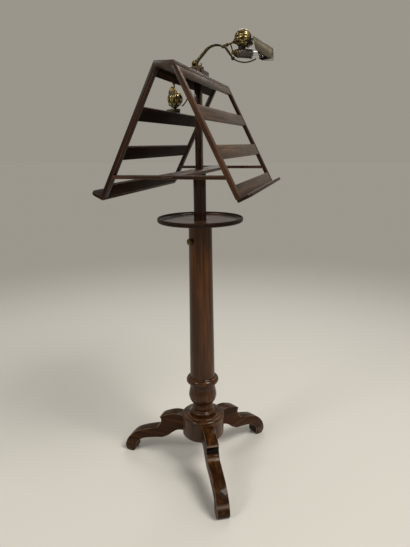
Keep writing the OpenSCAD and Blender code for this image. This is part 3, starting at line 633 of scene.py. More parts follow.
planed_board("bearer_board", "bearer", (-0.282, -0.032, 1.060), (0.282, 0.032, 1.070), board_wood,
             shape=bearer_tenons)
planed_board("near_stretcher", "stretcher_near", (-0.3118, -0.1566, 1.0602), (-0.282, 0.1566, 1.0698),
             cross_wood, shape=splayed_ends)
planed_board("far_stretcher", "stretcher_far", (0.282, -0.1566, 1.0602), (0.3118, 0.1566, 1.0698),
             cross_wood, shape=splayed_ends)

# Top board: the ridge of the desk, 624 mm long and 13 mm thick, with both long edges planed to the slope
# of the racks. The stiles and the top rails are glued up under it.
half_length = 0.312


def sloped_edges(board):
    widen_underside(board, 64.96 / 52, ridge_under)


planed_board("ridge_board", "top_board", (-half_length, -ridge_half, ridge_under),
             (half_length, ridge_half, ridge_top), board_wood, shape=sloped_edges, ease=0.0016)

# Rack stiles: four mahogany strips, 25 by 12 mm, that lean 26.5 degrees each way from the ridge.
# The rails and slats are tenoned into them, and their feet stand in the ledges.
# one wood in three copies: the left stiles and the far right one darker as painted shade, the near right one
# paler as painted light
shaded_tones = ((0.0060, 0.0026, 0.0014), (0.020, 0.0080, 0.0036), (0.046, 0.018, 0.0072))
stile_left_shaded_wood = mahogany("left_stile_mahogany", (-rack_slope, math.pi / 2, 0), *shaded_tones,
                           gloss=(0.36, 0.56), coat=0.08, film=0.25)
stile_right_lit_wood = mahogany("right_stile_mahogany", (rack_slope, math.pi / 2, 0),
                            (0.0175, 0.0078, 0.0036), (0.066, 0.0295, 0.0125), (0.150, 0.068, 0.0280),
                            gloss=(0.34, 0.54), coat=0.14, film=0.20)
stile_far_shaded_wood = mahogany("far_right_stile_mahogany", (rack_slope, math.pi / 2, 0), *shaded_tones,
                          gloss=(0.36, 0.56), coat=0.08, film=0.25)
for hand, end, x0, lean, wood in (
    ("left", "near", -half_length, 1, stile_left_shaded_wood),
    ("left", "far", 0.287, 1, stile_left_shaded_wood),
    ("right", "near", -half_length, -1, stile_right_lit_wood),
    ("right", "far", 0.287, -1, stile_far_shaded_wood),
):
    planed_board(f"{hand}_{end}_stile", f"stile_{hand}_{end}", (x0, -0.012, -0.3748), (x0 + 0.025, 0, 0),
                 wood, lean, 0.0014)

# Rails and slats: each rack has a top rail, two open slats and a bottom rail, 9 mm thick, set flush with
# the stiles' faces. They are thin planed boards of one wood; the left rack's take a darker copy of it as
# painted shade, and the right's a paler copy as painted light.
rack_lit_and_shaded_wood = {
    "left": mahogany("left_rack_shaded_mahogany", (-rack_slope, 0, 0), (0.0050, 0.0023, 0.0013),
                     (0.0140, 0.0060, 0.0028), (0.032, 0.0136, 0.0060), gloss=(0.46, 0.66), coat=0.0,
                     film=0.3, shine=0.03),
    "right": mahogany("right_rack_lit_mahogany", (rack_slope, 0, 0), (0.0175, 0.0095, 0.0056),
                      (0.054, 0.0285, 0.0155), (0.114, 0.063, 0.0340), gloss=(0.38, 0.58), coat=0.12,
                      film=0.22, shine=0.34),
}
rack_strips = (
    ("top_rail", "rail_top", 0, 0.0345),
    ("upper_slat", "slat_upper", 0.1155, 0.0385),
    ("lower_slat", "slat_lower", 0.227, 0.0385),
    ("bottom_rail", "rail_low", 0.339, 0.0358),
)
for hand, lean in (("left", 1), ("right", -1)):
    for name, node, start, deep in rack_strips:
        planed_board(f"{hand}_{name}", f"{node}_{hand}", (-0.2872, -0.009, -start - deep),
                     (0.2872, -0.0001, -start), rack_lit_and_shaded_wood[hand], lean, 0.0012)

# Ledges: the shelves that the music stands on, 10 mm boards nailed under the racks, with their two front
# corners rounded to a quarter circle. Their edge faces are painted darker as shade, and all their edges are
# softened.
def rounded_corners(board):
    bpy.ops.object.mode_set(mode="EDIT")
    bpy.ops.mesh.select_mode(type="EDGE")
    bpy.ops.mesh.select_all(action="DESELECT")
    bpy.ops.object.mode_set(mode="OBJECT")
    points = board.data.vertices
    for edge in board.data.edges:
        a, b = (points[i].co for i in edge.vertices)
        edge.select = a.y > 0.03 and b.y > 0.03 and abs(a.x - b.x) < 0.001
    bpy.ops.object.mode_set(mode="EDIT")
    bpy.ops.mesh.bevel(offset=0.017, offset_type="OFFSET", segments=10, profile=0.5, affect="EDGES")
    bpy.ops.mesh.select_mode(type="FACE")
    bpy.ops.mesh.select_all(action="DESELECT")
    bpy.ops.object.mode_set(mode="OBJECT")


for hand, lean in (("left", 1), ("right", -1)):
    ledge = planed_board(f"{hand}_ledge_board", f"ledge_{hand}", (-half_length, -0.010, -0.384),
                         (half_length, 0.031, -0.374), rack_lit_and_shaded_wood[hand], lean, 0.0018,
                         rounded_corners)
    # the edge faces take the darker stile wood, as painted shade
    ledge.data.materials.append(stile_left_shaded_wood)
    for face in ledge.data.polygons:
        if abs(face.normal.z) < 0.7:
            face.material_index = 1

# Lamp block: a small mahogany block, 130 mm long, screwed on the middle of the ridge to carry both lamps.
# Its upper edges are chamfered.
planed_board("lamp_block_wood", "lamp_block", (-0.065, -0.0175, 1.3501), (0.065, 0.0175, 1.367),
             board_wood, ease=0.0020)

# Lock: a brass rosette let into the column, and a knurled thumbscrew that bears on the sliding post and
# holds the racks at the height they are set to. The brass is old, browned in its hollows and rubbed
# bright on its edges.
def old_brass(name, hollow, skin, rubbed, rough=(0.24, 0.5), grain=90.0, edge=0.0006):
    look, tree, metal, where = new_look(name, {"Metallic": 1.0})
    cloud = noise(tree, where, grain, 5, 0.62)
    fine = noise(tree, where, grain * 9, 3, 0.55)
    tarnish = blend(tree, "MIX", span(tree, cloud, 0.36, 0.66), hollow, skin)
    worn = tree.nodes.new("ShaderNodeMath")
    worn.operation = "MULTIPLY"
    tree.links.new(span(tree, evenness(tree, edge, 4), 0.995, 0.90), worn.inputs[0])
    tree.links.new(span(tree, fine, 0.30, 0.62, 0.35, 1.0), worn.inputs[1])
    tree.links.new(blend(tree, "MIX", worn.outputs["Value"], tarnish, rubbed), metal.inputs["Base Color"])
    tree.links.new(span(tree, fine, 0.3, 0.7, *rough), metal.inputs["Roughness"])
    tree.links.new(dents(tree, cloud, 0.16, 0.0004).outputs["Normal"], metal.inputs["Normal"])
    return look


def finish(node, look):
    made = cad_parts[node].data
    made.materials.clear()
    made.materials.append(look)


fitting_brass = old_brass("fitting_brass", (0.055, 0.036, 0.014), (0.20, 0.145, 0.058), (0.55, 0.43, 0.20))
finish("lock_insert", fitting_brass)

screw_out = (Matrix.Rotation(math.radians(147), 4, "Z") @ Matrix.Translation((0, 0, 0.841))
             @ Matrix.Rotation(math.pi / 2, 4, "Y"))
knob_side = ([(0, 20.8), (2.6, 20.8), (3.3, 21.6), (3.3, 41.9), (5.4, 41.9), (5.4, 44.2), (6.6, 44.8),
              (9.4, 45.0)]
             + bow(9.8, 46.2, 1.2, -70, 0, 3) + bow(9.8, 49.5, 1.2, 0, 80, 4)
             + [(8.4, 50.7), (7.2, 51.0), (5.8, 51.9), (4.2, 52.5), (2.2, 52.8), (0, 52.9)])
thumbscrew = turned_piece("lock_thumbscrew", knob_side, fitting_brass, 160)
knurls = 32
for vertex in thumbscrew.data.vertices:
    x, y, z = vertex.co
    if math.hypot(x, y) > 0.0104 and 0.0455 < z < 0.0502:
        inward = 1 - 0.035 * (1 + math.cos(knurls * math.atan2(y, x)))
        vertex.co = (x * inward, y * inward, z)
thumbscrew.data.transform(screw_out)
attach(thumbscrew, "knob")
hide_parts("lock_knob")

# Bush: a short brass tube pressed in the column's mouth, flush with the tray, where the post slides and
# turns. Its bore is worn smooth, and the rim that shows has browned.
bush_brass = old_brass("bush_brass", (0.050, 0.033, 0.013), (0.16, 0.115, 0.045), (0.42, 0.32, 0.14),
                       (0.3, 0.55))
finish("column_bush", bush_brass)

# Screws: three countersunk brass screws hold the tray on the column, and four hold the bearer up to the
# racks' frame. Each head is domed a little and has one slot, dulled by polish that was rubbed over it.
screw_brass = old_brass("screw_brass", (0.05, 0.034, 0.014), (0.15, 0.105, 0.042), (0.42, 0.32, 0.15),
                        (0.3, 0.6), 160)
finish("bearer_screws", screw_brass)
screw_side = [(0, 890), (1.4, 890), (1.7, 891), (1.7, 905.5), (3.7, 906.3), (3.75, 907.1), (3.3, 907.5),
              (1.9, 907.7), (0, 907.75)]


def small_bar(middle, size):
    bpy.ops.object.select_all(action="DESELECT")
    bpy.ops.mesh.primitive_cube_add(size=1, location=middle)
    bar = bpy.context.object
    bar.scale = size
    bpy.ops.object.transform_apply(location=True, rotation=False, scale=True)
    return bar


for k, (x, y) in enumerate(screw_places):
    screw = turned_piece(f"tray_screw_{k}", screw_side, screw_brass, 40)
    cut_away(screw, small_bar((0, 0, 0.9078), (0.012, 0.0008, 0.0014)), "slot")
    screw.data.transform(Matrix.Translation((x, y, 0)) @ Matrix.Rotation(0.7 + 1.9 * k, 4, "Z"))
    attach(screw, "base")
    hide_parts("tray_screws")

# Lamp feet: two forked brass brackets on the block, one for each lamp, and the flat stays that the hinges'
# cables were once clipped to. They are sawn, filed and drilled from sheet.
for node in ("lamp_feet", "lamp_stays"):
    finish(node, fitting_brass)

# Lamp arms: a brass tube drawn down to a thin end and bent over into a hook. A thick eye is brazed on its
# foot, and a small one at the hook's end. Both lamps are alike and stand at different angles.
arm_brass = old_brass("arm_brass", (0.022, 0.017, 0.008), (0.092, 0.073, 0.035), (0.30, 0.25, 0.13),
                      (0.22, 0.42), 60)
lamp_place = {"right": Matrix.Translation((-0.045, 0, 0)) @ Matrix.Rotation(-math.pi / 2, 4, "Z")}
lamp_place["left"] = Matrix.Rotation(math.pi, 4, "Z") @ lamp_place["right"]
arm_lift = {"right": math.radians(45), "left": math.radians(2)}
rod_lift = {"right": math.radians(17.2), "left": math.radians(-93)}
pivot_at = Matrix.Translation((0.004, 0, 1.3776))
knuckle_at = Matrix.Translation((0.0889, 0, -0.02992))
arm_place = {
    hand: lamp_place[hand] @ pivot_at @ Matrix.Rotation(-arm_lift[hand], 4, "Y")
    for hand in lamp_place
}


def lay_along(piece, x, z, degrees):
    # turns the upright axis by so many degrees towards X, and moves the piece by x and z, in mm
    piece.data.transform(Matrix.Translation((x / 1000, 0, z / 1000))
                         @ Matrix.Rotation(math.radians(degrees), 4, "Y"))
    return piece


def bent_rod(name, stations, look, sides=20):
    # each station along the rod is a point and a radius, in mm
    bpy.ops.object.select_all(action="DESELECT")
    bpy.ops.curve.primitive_bezier_curve_add()
    rod = bpy.context.object
    rod.name = name
    rod.data.splines.clear()
    line = rod.data.splines.new("POLY")
    line.points.add(len(stations) - 1)
    for point, (x, y, z, r) in zip(line.points, stations):
        point.co = (x / 1000, y / 1000, z / 1000, 1)
        point.radius = r
    rod.data.bevel_depth = 0.001
    rod.data.bevel_resolution = sides // 4
    rod.data.use_fill_caps = True
    rod.data.twist_mode = "MINIMUM"
    bpy.ops.object.convert(target="MESH")
    rod = bpy.context.object
    bpy.ops.object.mode_set(mode="EDIT")
    bpy.ops.mesh.select_all(action="SELECT")
    bpy.ops.mesh.remove_doubles(threshold=0.00001)
    bpy.ops.mesh.normals_make_consistent(inside=False)
    bpy.ops.object.mode_set(mode="OBJECT")
    bpy.ops.object.shade_smooth_by_angle(angle=math.radians(40))
    rod.data.materials.clear()
    rod.data.materials.append(look)
    return rod


def as_one(name, parts):
    bpy.ops.object.select_all(action="DESELECT")
    for part in parts:
        part.select_set(True)
    bpy.context.view_layer.objects.active = parts[0]
    bpy.ops.object.join()
    whole = bpy.context.object
    whole.name = name
    return whole


def for_both(name, pattern, place, body, node):
    # the pattern is modelled once, along X, and copied to each lamp's own place
    for hand in ("right", "left"):
        piece = pattern.copy()
        piece.data = pattern.data.copy()
        piece.name = f"{name}_{hand}"
        scene.collection.objects.link(piece)
        piece.data.transform(place[hand])
        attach(piece, body + hand)
        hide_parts(node + hand)
    bpy.data.objects.remove(pattern)


def hinge_eye(name, r, width, hole, look):
    half = width / 2
    eye_side = [(hole, -half), (r - 0.8, -half), (r - 0.25, -half + 0.25), (r, -half + 0.8), (r, half - 0.8),
                (r - 0.25, half - 0.25), (r - 0.8, half), (hole, half), (hole, -half)]
    eye = turned_piece(name, eye_side, look, 64)
    eye.data.transform(Matrix.Rotation(math.pi / 2, 4, "X"))
    return eye


tube_line = [(6 + 43.2 * k / 12, 0, 0, 5.2 - 0.5 * k / 12) for k in range(13)]
tube_line += [(49.2 + 41.3 * math.sin(a), 0, -41.3 * (1 - math.cos(a)), 4.7 - 1.9 * (k / 30) ** 0.85)
              for k, a in ((k, math.radians(74 * k / 30 * 0.965)) for k in range(1, 31))]
tube = bent_rod("arm_tube", tube_line, arm_brass)
foot_eye = hinge_eye("foot_eye", 8.8, 11, 2.3, arm_brass)
hook_eye = hinge_eye("hook_eye", 4.6, 5, 1.6, arm_brass)
hook_eye.data.transform(knuckle_at)
ferrule_side = [(0, 7.4), (6.2, 7.4), (6.6, 8.0), (6.6, 10.6), (6.2, 11.2), (5.5, 11.5), (5.3, 12.6),
                (5.8, 13.0), (5.8, 13.8), (5.2, 14.2), (0, 14.2)]
ferrule = lay_along(turned_piece("arm_ferrule", ferrule_side, arm_brass, 56), 0, 0, 90)
arm = as_one("arm_pattern", [tube, foot_eye, hook_eye, ferrule])
for_both("lamp_arm", arm, arm_place, "arm_", "arm_")

# Pivots: a turned brass pin through each foot and arm, with a washer and a round domed head on both ends.
# The heads are riveted over, browned, and rubbed bright round their rims.
pin_side = [(0, -8.4), (2.2, -8.4), (2.2, 8.4), (0, 8.4)]
head_side = ([(0, 8.3), (7.2, 8.3), (7.6, 8.7), (7.6, 9.2), (7.2, 9.6), (6.3, 9.7), (6.1, 10.1)]
             + bow(0, 9.4, 6.1, 12, 90, 14))
pivot_brass = old_brass("pivot_brass", (0.030, 0.022, 0.010), (0.135, 0.100, 0.044), (0.50, 0.41, 0.21),
                        (0.16, 0.34), 110)
for hand in ("right", "left"):
    pivot = [turned_piece("pivot_pin", pin_side, pivot_brass, 32)]
    for end in (0, math.pi):
        head = turned_piece("pivot_head", head_side, pivot_brass, 64)
        head.data.transform(Matrix.Rotation(end, 4, "X"))
        pivot.append(head)
    pivot = as_one("lamp_pivot_" + hand, pivot)
    pivot.data.transform(lamp_place[hand] @ pivot_at @ Matrix.Rotation(math.pi / 2, 4, "X"))
    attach(pivot, "desk")
    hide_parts("lamp_pivots")

# Knuckles: at the hook's end a small fork turns on a pin. It carries the lamp's rod in its hub, and a stiff
# brass strip hangs from it to a black wooden pull knob, with a bent wire going on under the lamp.
def break_edges(bar, width, look):
    take_up(bar)
    bpy.ops.object.mode_set(mode="EDIT")
    bpy.ops.mesh.select_all(action="SELECT")
    bpy.ops.mesh.normals_make_consistent(inside=False)
    bpy.ops.mesh.bevel(offset=width, segments=2, affect="EDGES")
    bpy.ops.object.mode_set(mode="OBJECT")
    bar.data.materials.append(look)


yoke_place = {
    hand: arm_place[hand] @ knuckle_at @ Matrix.Rotation(arm_lift[hand] - rod_lift[hand], 4, "Y")
    for hand in lamp_place
}
black_knob_and_shade, tree, coat, where = new_look("black_knob_and_shade", {
    "Base Color": (0.006, 0.005, 0.004, 1),
    "Coat Weight": 0.15,
    "Specular IOR Level": 0.2,
})
scuffs = noise(tree, where, 260, 4)
tree.links.new(span(tree, scuffs, 0.35, 0.65, 0.16, 0.42), coat.inputs["Roughness"])
top_x, top_z, foot_x, foot_z = 6.0, -3.0, 18.7, -40.2
pull_tilt = math.degrees(math.atan2(foot_x - 9.5, -39.2))
pull_side = ([(0, -5.5), (1.2, -5.5), (2.4, -5.4)] + bow(0, 0, 5.5, -58, 58, 18)
             + [(2.4, 5.4), (1.2, 5.5), (0, 5.5)])
hub_side = [(2.5, 5.3), (4.2, 5.3), (4.8, 6.0), (4.8, 8.4), (4.2, 8.9), (4.2, 12.4), (4.8, 12.9),
            (4.8, 15.6), (4.3, 16.6), (3.4, 17.0), (2.5, 17.0), (2.5, 5.3)]
for hand in ("right", "left"):
    finish("knuckle_pin_" + hand, fitting_brass)
    pull = turned_piece("pull_knob_" + hand, pull_side, black_knob_and_shade, 48)
    lay_along(pull, foot_x, foot_z, pull_tilt)
    pull.data.transform(yoke_place[hand])
    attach(pull, "yoke_" + hand)
    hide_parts("pull_knob_" + hand)

    cheeks = []
    for side_y in (-3.8, 3.8):
        cheek = hinge_eye("fork_cheek", 4.6, 2, 1.6, arm_brass)
        cheek.data.transform(Matrix.Translation((0, side_y / 1000, 0)))
        tongue = small_bar((0.005, side_y / 1000, 0), (0.0060, 0.0018, 0.0058))
        break_edges(tongue, 0.0004, arm_brass)
        cheeks += [cheek, tongue]
    hub = lay_along(turned_piece("fork_hub", hub_side, arm_brass, 48), 0, 0, 90)
    strip_line = [(top_x + (foot_x - top_x) * k / 10, 0, top_z + (foot_z - top_z) * k / 10,
                   3.9 - 1.1 * k / 10 - (0.45 if k in (2, 8) else 0)) for k in range(11)]
    strip = bent_rod("knob_strip", strip_line, arm_brass)
    bend_x, bend_z, sweep = {"right": (68.2, -5.3, 66), "left": (42, 4, 85)}[hand]
    reach = math.hypot(bend_x - foot_x, bend_z - foot_z)
    start = math.degrees(math.atan2(foot_z - bend_z, foot_x - bend_x))
    wire_line = bow(bend_x, bend_z, reach, start, start + sweep, 36)
    wire = bent_rod("knob_wire", [(x, 0, z, 2.0) for x, z in wire_line], arm_brass, 12)
    tip = turned_piece("wire_tip", bow(0, 0, 2.5, -90, 90, 12), arm_brass, 24)
    lay_along(tip, *wire_line[-1], 0)
    fork = as_one("lamp_knuckle_" + hand, cheeks + [hub, strip, wire, tip])
    fork.data.transform(yoke_place[hand])
    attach(fork, "yoke_" + hand)
    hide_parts("yoke_" + hand)

# Lamp rods: a turned brass rod swivels in the fork's hub and ends in a small trumpet under the ball.
# A short post stands down from it and holds the cup of the lamp holder.
head_place = {
    "right": yoke_place["right"],
    "left": yoke_place["left"] @ Matrix.Rotation(math.radians(240), 4, "X"),
}
rod_side = [(0, 8.6), (2.3, 8.6), (2.3, 17.3), (3.0, 17.4), (3.4, 17.9), (3.4, 19.0), (2.7, 19.6),
            (2.6, 27.0), (3.0, 30.5), (4.2, 32.2), (4.4, 32.8), (4.0, 33.2), (5.0, 33.9), (6.9, 35.9),
            (8.6, 38.4), (8.8, 39.1), (0, 37.2)]
spindle = lay_along(turned_piece("rod_spindle", rod_side, fitting_brass, 56), 0, 0, 90)
post_side = [(0, -23.6), (2.3, -23.6), (2.3, -18), (1.9, -17), (1.9, -4), (2.4, -3), (2.4, -1), (0, -1)]
stalk = turned_piece("cup_stalk", post_side, fitting_brass, 32)
stalk.data.transform(Matrix.Translation((0.0235, 0, 0)))
rod = as_one("rod_pattern", [spindle, stalk])
for_both("lamp_rod", rod, head_place, "head_", "head_rod_")

# Balls: hollow balls pressed from thin brass with rows of overlapping leaves, gilt once. The hollows of
# the leaves are nearly black with old lacquer, and the raised parts shine. A saddle below each ball rests
# on the lamp holder.
gilt, tree, skin, where = new_look("gilt_leaf_brass", {"Metallic": 1.0})
stain = noise(tree, where, 110, 5)
raised = tree.nodes.new("ShaderNodeMath")
raised.operation = "MULTIPLY_ADD"
raised.inputs[1].default_value = 0.35
tree.links.new(stain, raised.inputs[0])
tree.links.new(marked(tree, "relief"), raised.inputs[2])
height = raised.outputs["Value"]
gilding = ramp(tree, height, (0.46, (0.018, 0.012, 0.006)), (0.80, (0.135, 0.098, 0.036)),
               (1.0, (0.66, 0.54, 0.26)))
tree.links.new(gilding, skin.inputs["Base Color"])
tree.links.new(span(tree, height, 0.4, 1.1, 0.5, 0.22), skin.inputs["Roughness"])
tree.links.new(dents(tree, stain, 0.2, 0.0004).outputs["Normal"], skin.inputs["Normal"])


def leaf_height(angle, turn):
    # how far the pressed leaves stand out: 0 in the grooves between them, 1 on their highest part
    rows, leaves = 6, 9
    across = turn / (2 * math.pi) * leaves
    for row in range(rows + 2):
        foot = (row - 1.2) * math.pi / rows
        along = (angle - foot) / (1.55 * math.pi / rows)
        if not 0 <= along <= 1:
            continue
        off = (across + 0.5 * (row % 2)) % 1 - 0.5
        half = 0.56 * math.sqrt(max(0.0, 1 - along ** 2.4))
        if abs(off) > half:
            continue
        rim = min(1.0, (half - abs(off)) / 0.10)
        vein = math.exp(-(off / 0.045) ** 2) * 0.35
        rib = 0.12 * math.cos(abs(off) * 26 + along * 9)
        return max(0.0, (0.30 + 0.62 * along) * (0.35 + 0.65 * rim) - vein * rim + rib * rim)
    return 0.0


ball_x, ball_r, shade_lean = 61.7, 0.025, 50.2
holder_line = (22.5, -25.5, 114)
bpy.ops.object.select_all(action="DESELECT")
bpy.ops.mesh.primitive_uv_sphere_add(segments=180, ring_count=120, radius=ball_r)
leafed = bpy.context.object
leafed.name = "leaf_ball"
heights = []
for vertex in leafed.data.vertices:
    x, y, z = vertex.co
    h = min(1.0, leaf_height(math.acos(max(-1, min(1, z / ball_r))), math.atan2(y, x)))
    pole = min(1.0, math.hypot(x, y) / 0.0045)
    h = h * pole + 0.7 * (1 - pole)
    heights.append(h)
    vertex.co = vertex.co * (1 - 0.044 * (1 - h))
mark(leafed, "relief", "POINT", heights)
bpy.ops.object.shade_smooth()
leafed.data.materials.append(gilt)
lay_along(leafed, ball_x, 0, shade_lean - 90 - 35)
stub_side = [(0, 20), (4.9, 20), (4.9, 31.5), (4.3, 32.4), (2.0, 32.9), (0, 33)]
stub = lay_along(turned_piece("shade_stub", stub_side, fitting_brass, 48), ball_x, 0, 90 + shade_lean)
# the saddle is black as painted shade under the ball
saddle_side = [(0, 21), (10.9, 21), (10.9, 30), (0, 30)]
saddle = lay_along(turned_piece("holder_saddle", saddle_side, black_knob_and_shade, 72), ball_x, 0, 180 + 24)
bpy.ops.object.select_all(action="DESELECT")
bpy.ops.mesh.primitive_cylinder_add(vertices=96, radius=0.01345, depth=0.2)
cut_away(saddle, lay_along(bpy.context.object, *holder_line), "holder")
for part in (stub, saddle):
    mark(part, "relief", "POINT", [0.5] * len(part.data.vertices))
ball = as_one("ball_pattern", [leafed, stub, saddle])
for_both("lamp_ball", ball, head_place, "head_", "ball_")

# Cups: each holder sits in a spun brass bell with soft flutes, fixed to the rod by its stalk. The flutes
# were pressed after spinning, and their crests are polished bright.
cup_brass = old_brass("cup_brass", (0.045, 0.028, 0.012), (0.30, 0.21, 0.09), (0.72, 0.60, 0.34),
                      (0.10, 0.24), 130)
cup_side = [(0, -3.6), (2.4, -3.4), (4.4, -2.6), (5.4, -1.4), (5.4, -0.4), (4.9, 0.5), (5.2, 1.4),
            (6.6, 3.0), (8.3, 5.0), (9.9, 7.4), (11.2, 10.0), (12.3, 13.0), (12.9, 15.6), (13.3, 16.1),
            (13.8, 16.5), (13.95, 17.2), (13.8, 17.8), (13.3, 18), (10.5, 18), (10.5, 12.3), (0, 12.3)]
bell = turned_piece("cup_bell", cup_side, cup_brass, 180)
flutes = 9
for vertex in bell.data.vertices:
    x, y, z = vertex.co
    r = math.hypot(x, y)
    if 0.0010 < z < 0.0160 and r > 0.0050:
        swell = math.sin(math.pi * (z - 0.001) / 0.015) ** 0.6
        groove = 1 - 0.085 * swell * (1 - abs(math.sin(flutes * math.atan2(y, x))))
        vertex.co = (x * groove, y * groove, z)
lay_along(bell, *holder_line)
for_both("lamp_cup", bell, head_place, "head_", "cup_")

# Holders: turned sleeves of dark brown moulding, highly polished, with a raised ring at each end. Each is
# pushed into its cup and cemented, and takes the bulb's brass cap in its mouth.
holder_look, tree, shell, where = new_look("dark_moulded_holder", {
    "Coat Weight": 0.7,
    "Coat Roughness": 0.12,
})
mottle = noise(tree, where, 75, 6, twist=0.8)
browns = ramp(tree, mottle, (0.35, (0.010, 0.007, 0.005)), (0.70, (0.055, 0.032, 0.020)))
tree.links.new(browns, shell.inputs["Base Color"])
tree.links.new(span(tree, mottle, 0.3, 0.7, 0.18, 0.40), shell.inputs["Roughness"])
holder_side = [(0, 13.2), (10.3, 13.2), (10.3, 18.05), (12.9, 18.05), (13.3, 18.5), (13.35, 20.6),
               (13.0, 21.0), (12.7, 21.4), (12.7, 24.4), (13.0, 24.8), (13.0, 25.8), (12.7, 26.2),
               (12.7, 52.4), (13.1, 52.8), (13.35, 53.4), (13.35, 57.2), (12.9, 57.9), (12.2, 58.0),
               (7.2, 58.0), (6.8, 57.6), (6.8, 48.3), (0, 48.3)]
sleeve = lay_along(turned_piece("holder_sleeve", holder_side, holder_look, 96), *holder_line)
for_both("lamp_holder", sleeve, head_place, "head_", "socket_")

# Bulbs: clear tubular bulbs, a thin blown shell round a long looped filament on a glass stem. They are
# 15 mm thick and stand 34 mm out of the holder's mouth, under the shade.
clear_glass, tree, blown, where = new_look("clear_bulb_glass", {
    "Base Color": (0.97, 0.98, 0.98, 1),
    "Transmission Weight": 1.0,
    "IOR": 1.45,
})
dust = noise(tree, where, 300)
tree.links.new(span(tree, dust, 0.4, 0.8, 0.02, 0.12), blown.inputs["Roughness"])
filament_metal = old_brass("filament_wire", (0.10, 0.09, 0.08), (0.22, 0.20, 0.18), (0.4, 0.38, 0.35),
                           (0.3, 0.5), 400)
shell_side = ([(6.4, 49.2), (6.4, 57.6), (7.2, 58.6), (7.45, 59.6)] + bow(0, 84.7, 7.45, 0, 90, 10)
              + bow(0, 84.7, 6.95, 90, 0, 10)
              + [(6.95, 60), (6.7, 59), (5.9, 58.2), (5.9, 49.2), (6.4, 49.2)])
tube_glass = turned_piece("bulb_tube", shell_side, clear_glass, 64)
stem_side = [(0, 49.3), (5.7, 49.3), (5.7, 51.5), (2.2, 54.5), (1.6, 58.5), (1.2, 60.5), (0, 60.8)]
lamp_stem = turned_piece("bulb_stem", stem_side, clear_glass, 32)
loop_line = [(2.6 * math.sin(k * 0.62), 1.1 * math.cos(k * 0.31),
              60 + 26 * math.sin(math.pi * k / 60) ** 0.8, 0.16) for k in range(61)]
loop = bent_rod("bulb_filament", loop_line, filament_metal, 8)
bulb = lay_along(as_one("bulb_pattern", [tube_glass, lamp_stem, loop]), *holder_line)
for_both("lamp_bulb", bulb, head_place, "head_", "bulb_")

# Collars: a turned ring, lacquered black, turns on the ball's stub. It carries the shade on one flat strap
# of the same metal, bent over its rim and riveted under the shade's crown.
collar_side = [(5.3, 24.9), (7.5, 24.5), (10, 23.6), (12.5, 22.35), (14.3, 21.2), (14.5, 21.6),
               (14.5, 22.6), (13.9, 23.0), (13.9, 23.8), (14.5, 24.2), (14.5, 25.4), (14.0, 26),
               (5.9, 26), (5.3, 25.6), (5.3, 24.9)]
ring = lay_along(turned_piece("collar_ring", collar_side, black_knob_and_shade, 96), ball_x, 0, 90 + shade_lean)
strap = small_bar((0.0248, 0, 0.0166), (0.0014, 0.0098, 0.0044))
bpy.ops.object.mode_set(mode="EDIT")
bpy.ops.mesh.select_mode(type="FACE")
bpy.ops.mesh.select_all(action="DESELECT")
bpy.ops.object.mode_set(mode="OBJECT")
for face in strap.data.polygons:
    face.select = face.normal.z < -0.9
bpy.ops.object.mode_set(mode="EDIT")
bpy.ops.mesh.extrude_region_move(TRANSFORM_OT_translate={"value": (0, 0, -0.0100)})
bpy.ops.object.mode_set(mode="OBJECT")
tongue = small_bar((0.0374, 0, 0.0181), (0.0266, 0.0098, 0.0014))
rivet_side = [(0, 15.9), (1.0, 16.2), (1.5, 16.9), (1.5, 17.5), (0, 17.5)]
rivets = []
for along in (36, 46):
    rivet = turned_piece("strap_rivet", rivet_side, fitting_brass, 20)
    rivet.data.transform(Matrix.Translation((along / 1000, 0, 0)))
    rivets.append(rivet)
for part in (strap, tongue):
    break_edges(part, 0.0003, black_knob_and_shade)
lift = lay_along(as_one("strap_whole", [strap, tongue] + rivets), ball_x, 0, shade_lean)
collar = as_one("collar_pattern", [ring, lift])
for_both("lamp_collar", collar, head_place, "hood_", "collar_")

# Shades: half a tube of rolled sheet metal, cut off slanting beside the ball and level at its foot, with a
# wire rolled into its edge. It is dull bronze outside; inside it is painted near black as shade, with a paler
# band near the open end as painted light.
shade_skin, tree, sheet, where = new_look("bronzed_shade_outside", {"Metallic": 0.6})
patches = noise(tree, where, 38, 7, 0.65)
scratch = noise(tree, where, 520, 3)
bronze = ramp(tree, patches, (0.30, (0.070, 0.057, 0.036)), (0.72, (0.150, 0.124, 0.084)))
tree.links.new(bronze, sheet.inputs["Base Color"])
tree.links.new(span(tree, scratch, 0.3, 0.7, 0.42, 0.66), sheet.inputs["Roughness"])
tree.links.new(dents(tree, patches, 0.12, 0.0006).outputs["Normal"], sheet.inputs["Normal"])
hood_inside_painted, tree, lining, where = new_look("shade_inside_painted_dark_and_lit", {
    "Roughness": 0.8,
    "Specular IOR Level": 0.2,
})
# near black inside as painted shade, and paler near the open end as painted light on the lit inside
inside_mottle = noise(tree, where, 120, 5)
blacks = ramp(tree, inside_mottle, (0.35, (0.003, 0.003, 0.003)), (0.75, (0.014, 0.012, 0.010)))
lit_band = span(tree, marked(tree, "mouth"), 0.80, 0.92)
tree.links.new(blend(tree, "MIX", lit_band, blacks, (0.42, 0.36, 0.31)), lining.inputs["Base Color"])

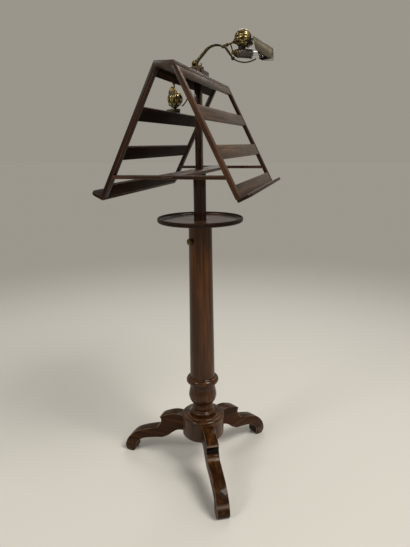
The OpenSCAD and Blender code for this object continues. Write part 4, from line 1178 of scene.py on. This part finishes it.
# a row of points for each step round the half tube, from its slanting end to its open foot, as far
# as the two cuts stand apart; the cuts are measured in mm with the tube tipped down by its drop
shade_r, shade_drop, hem_r = 22.4, 1.5, 0.62
opening, wrap = 30.2, 254.6
slant_x, slant_z, foot_cut, low_cut, least = 29.55, 5.4, 84.9, 59.4, 1.0
round_steps, long_steps = 102, 30
drop, lean = math.radians(33), math.tan(math.radians(14))
fall, run = math.sin(drop), math.cos(drop)
shade_rows = []
for k in range(round_steps + 1):
    psi = math.radians(opening + wrap * k / round_steps)
    z_l, y = -shade_r * math.cos(psi) - shade_drop, shade_r * math.sin(psi)
    near = (slant_x + lean * slant_z - lean * z_l * run - z_l * fall) / (run - lean * fall)
    far = min((foot_cut - z_l * fall) / run, (z_l * run + low_cut) / fall)
    if far - near > least:
        shade_rows.append([(near + (far - near) * j / long_steps, y, z_l) for j in range(long_steps + 1)])
bpy.ops.object.select_all(action="DESELECT")
bpy.ops.mesh.primitive_grid_add(x_subdivisions=len(shade_rows) - 1, y_subdivisions=long_steps, size=1)
shade = bpy.context.object
shade.name = "shade_pattern"
order = sorted(range(len(shade.data.vertices)),
               key=lambda v: (round(shade.data.vertices[v].co.x, 5), round(shade.data.vertices[v].co.y, 5)))
towards_mouth = [0.0] * len(order)
for k, (v, (s, y, z_l)) in enumerate(zip(order, [p for row in shade_rows for p in row])):
    shade.data.vertices[v].co = (s / 1000, y / 1000, z_l / 1000)
    towards_mouth[v] = k % (long_steps + 1) / long_steps
mark(shade, "mouth", "POINT", towards_mouth)
bpy.ops.object.mode_set(mode="EDIT")
bpy.ops.mesh.select_all(action="SELECT")
bpy.ops.mesh.normals_make_consistent(inside=False)
bpy.ops.object.mode_set(mode="OBJECT")
middle_face = min(shade.data.polygons, key=lambda f: (f.center - Vector((0.06, 0, 0.021))).length)
if middle_face.normal.z < 0:
    shade.data.flip_normals()
shade.data.materials.append(shade_skin)
shade.data.materials.append(hood_inside_painted)
wall = shade.modifiers.new("wall", "SOLIDIFY")
wall.thickness = 0.0010
wall.offset = -1
wall.material_offset = 1
wall.material_offset_rim = 0
bpy.ops.object.modifier_apply(modifier="wall")
bpy.ops.object.shade_smooth_by_angle(angle=math.radians(40))
border = ([row[0] for row in shade_rows] + shade_rows[-1][1:-1] + [row[-1] for row in reversed(shade_rows)]
          + shade_rows[0][-2:0:-1])

# the wire stands inside the edge, so that the sheet is rolled in over it
inner = 21.75 / shade_r
foot_corners = (shade_rows[0][-1], shade_rows[-1][-1])
edge_points = []
for s, y, z_l in border:
    back = 0.35 if (s, y, z_l) in foot_corners else 0.0
    edge_points.append((s - back, y * inner, (z_l + shade_drop) * inner - shade_drop))
hem = []
for k, point in enumerate(edge_points):
    if math.dist(point, edge_points[k - 1]) > 0.2:
        hem.append(point)
middle_s = sum(p[0] for p in hem) / len(hem)
hem = [(s + (hem_r if s < middle_s else -hem_r), y, z_l, hem_r) for s, y, z_l in hem]
rolled = bent_rod("shade_hem", hem + [hem[0]], shade_skin, 12)
shade = lay_along(as_one("shade_pattern", [shade, rolled]), ball_x, 0, shade_lean)
for_both("lamp_shade", shade, head_place, "hood_", "hood_")
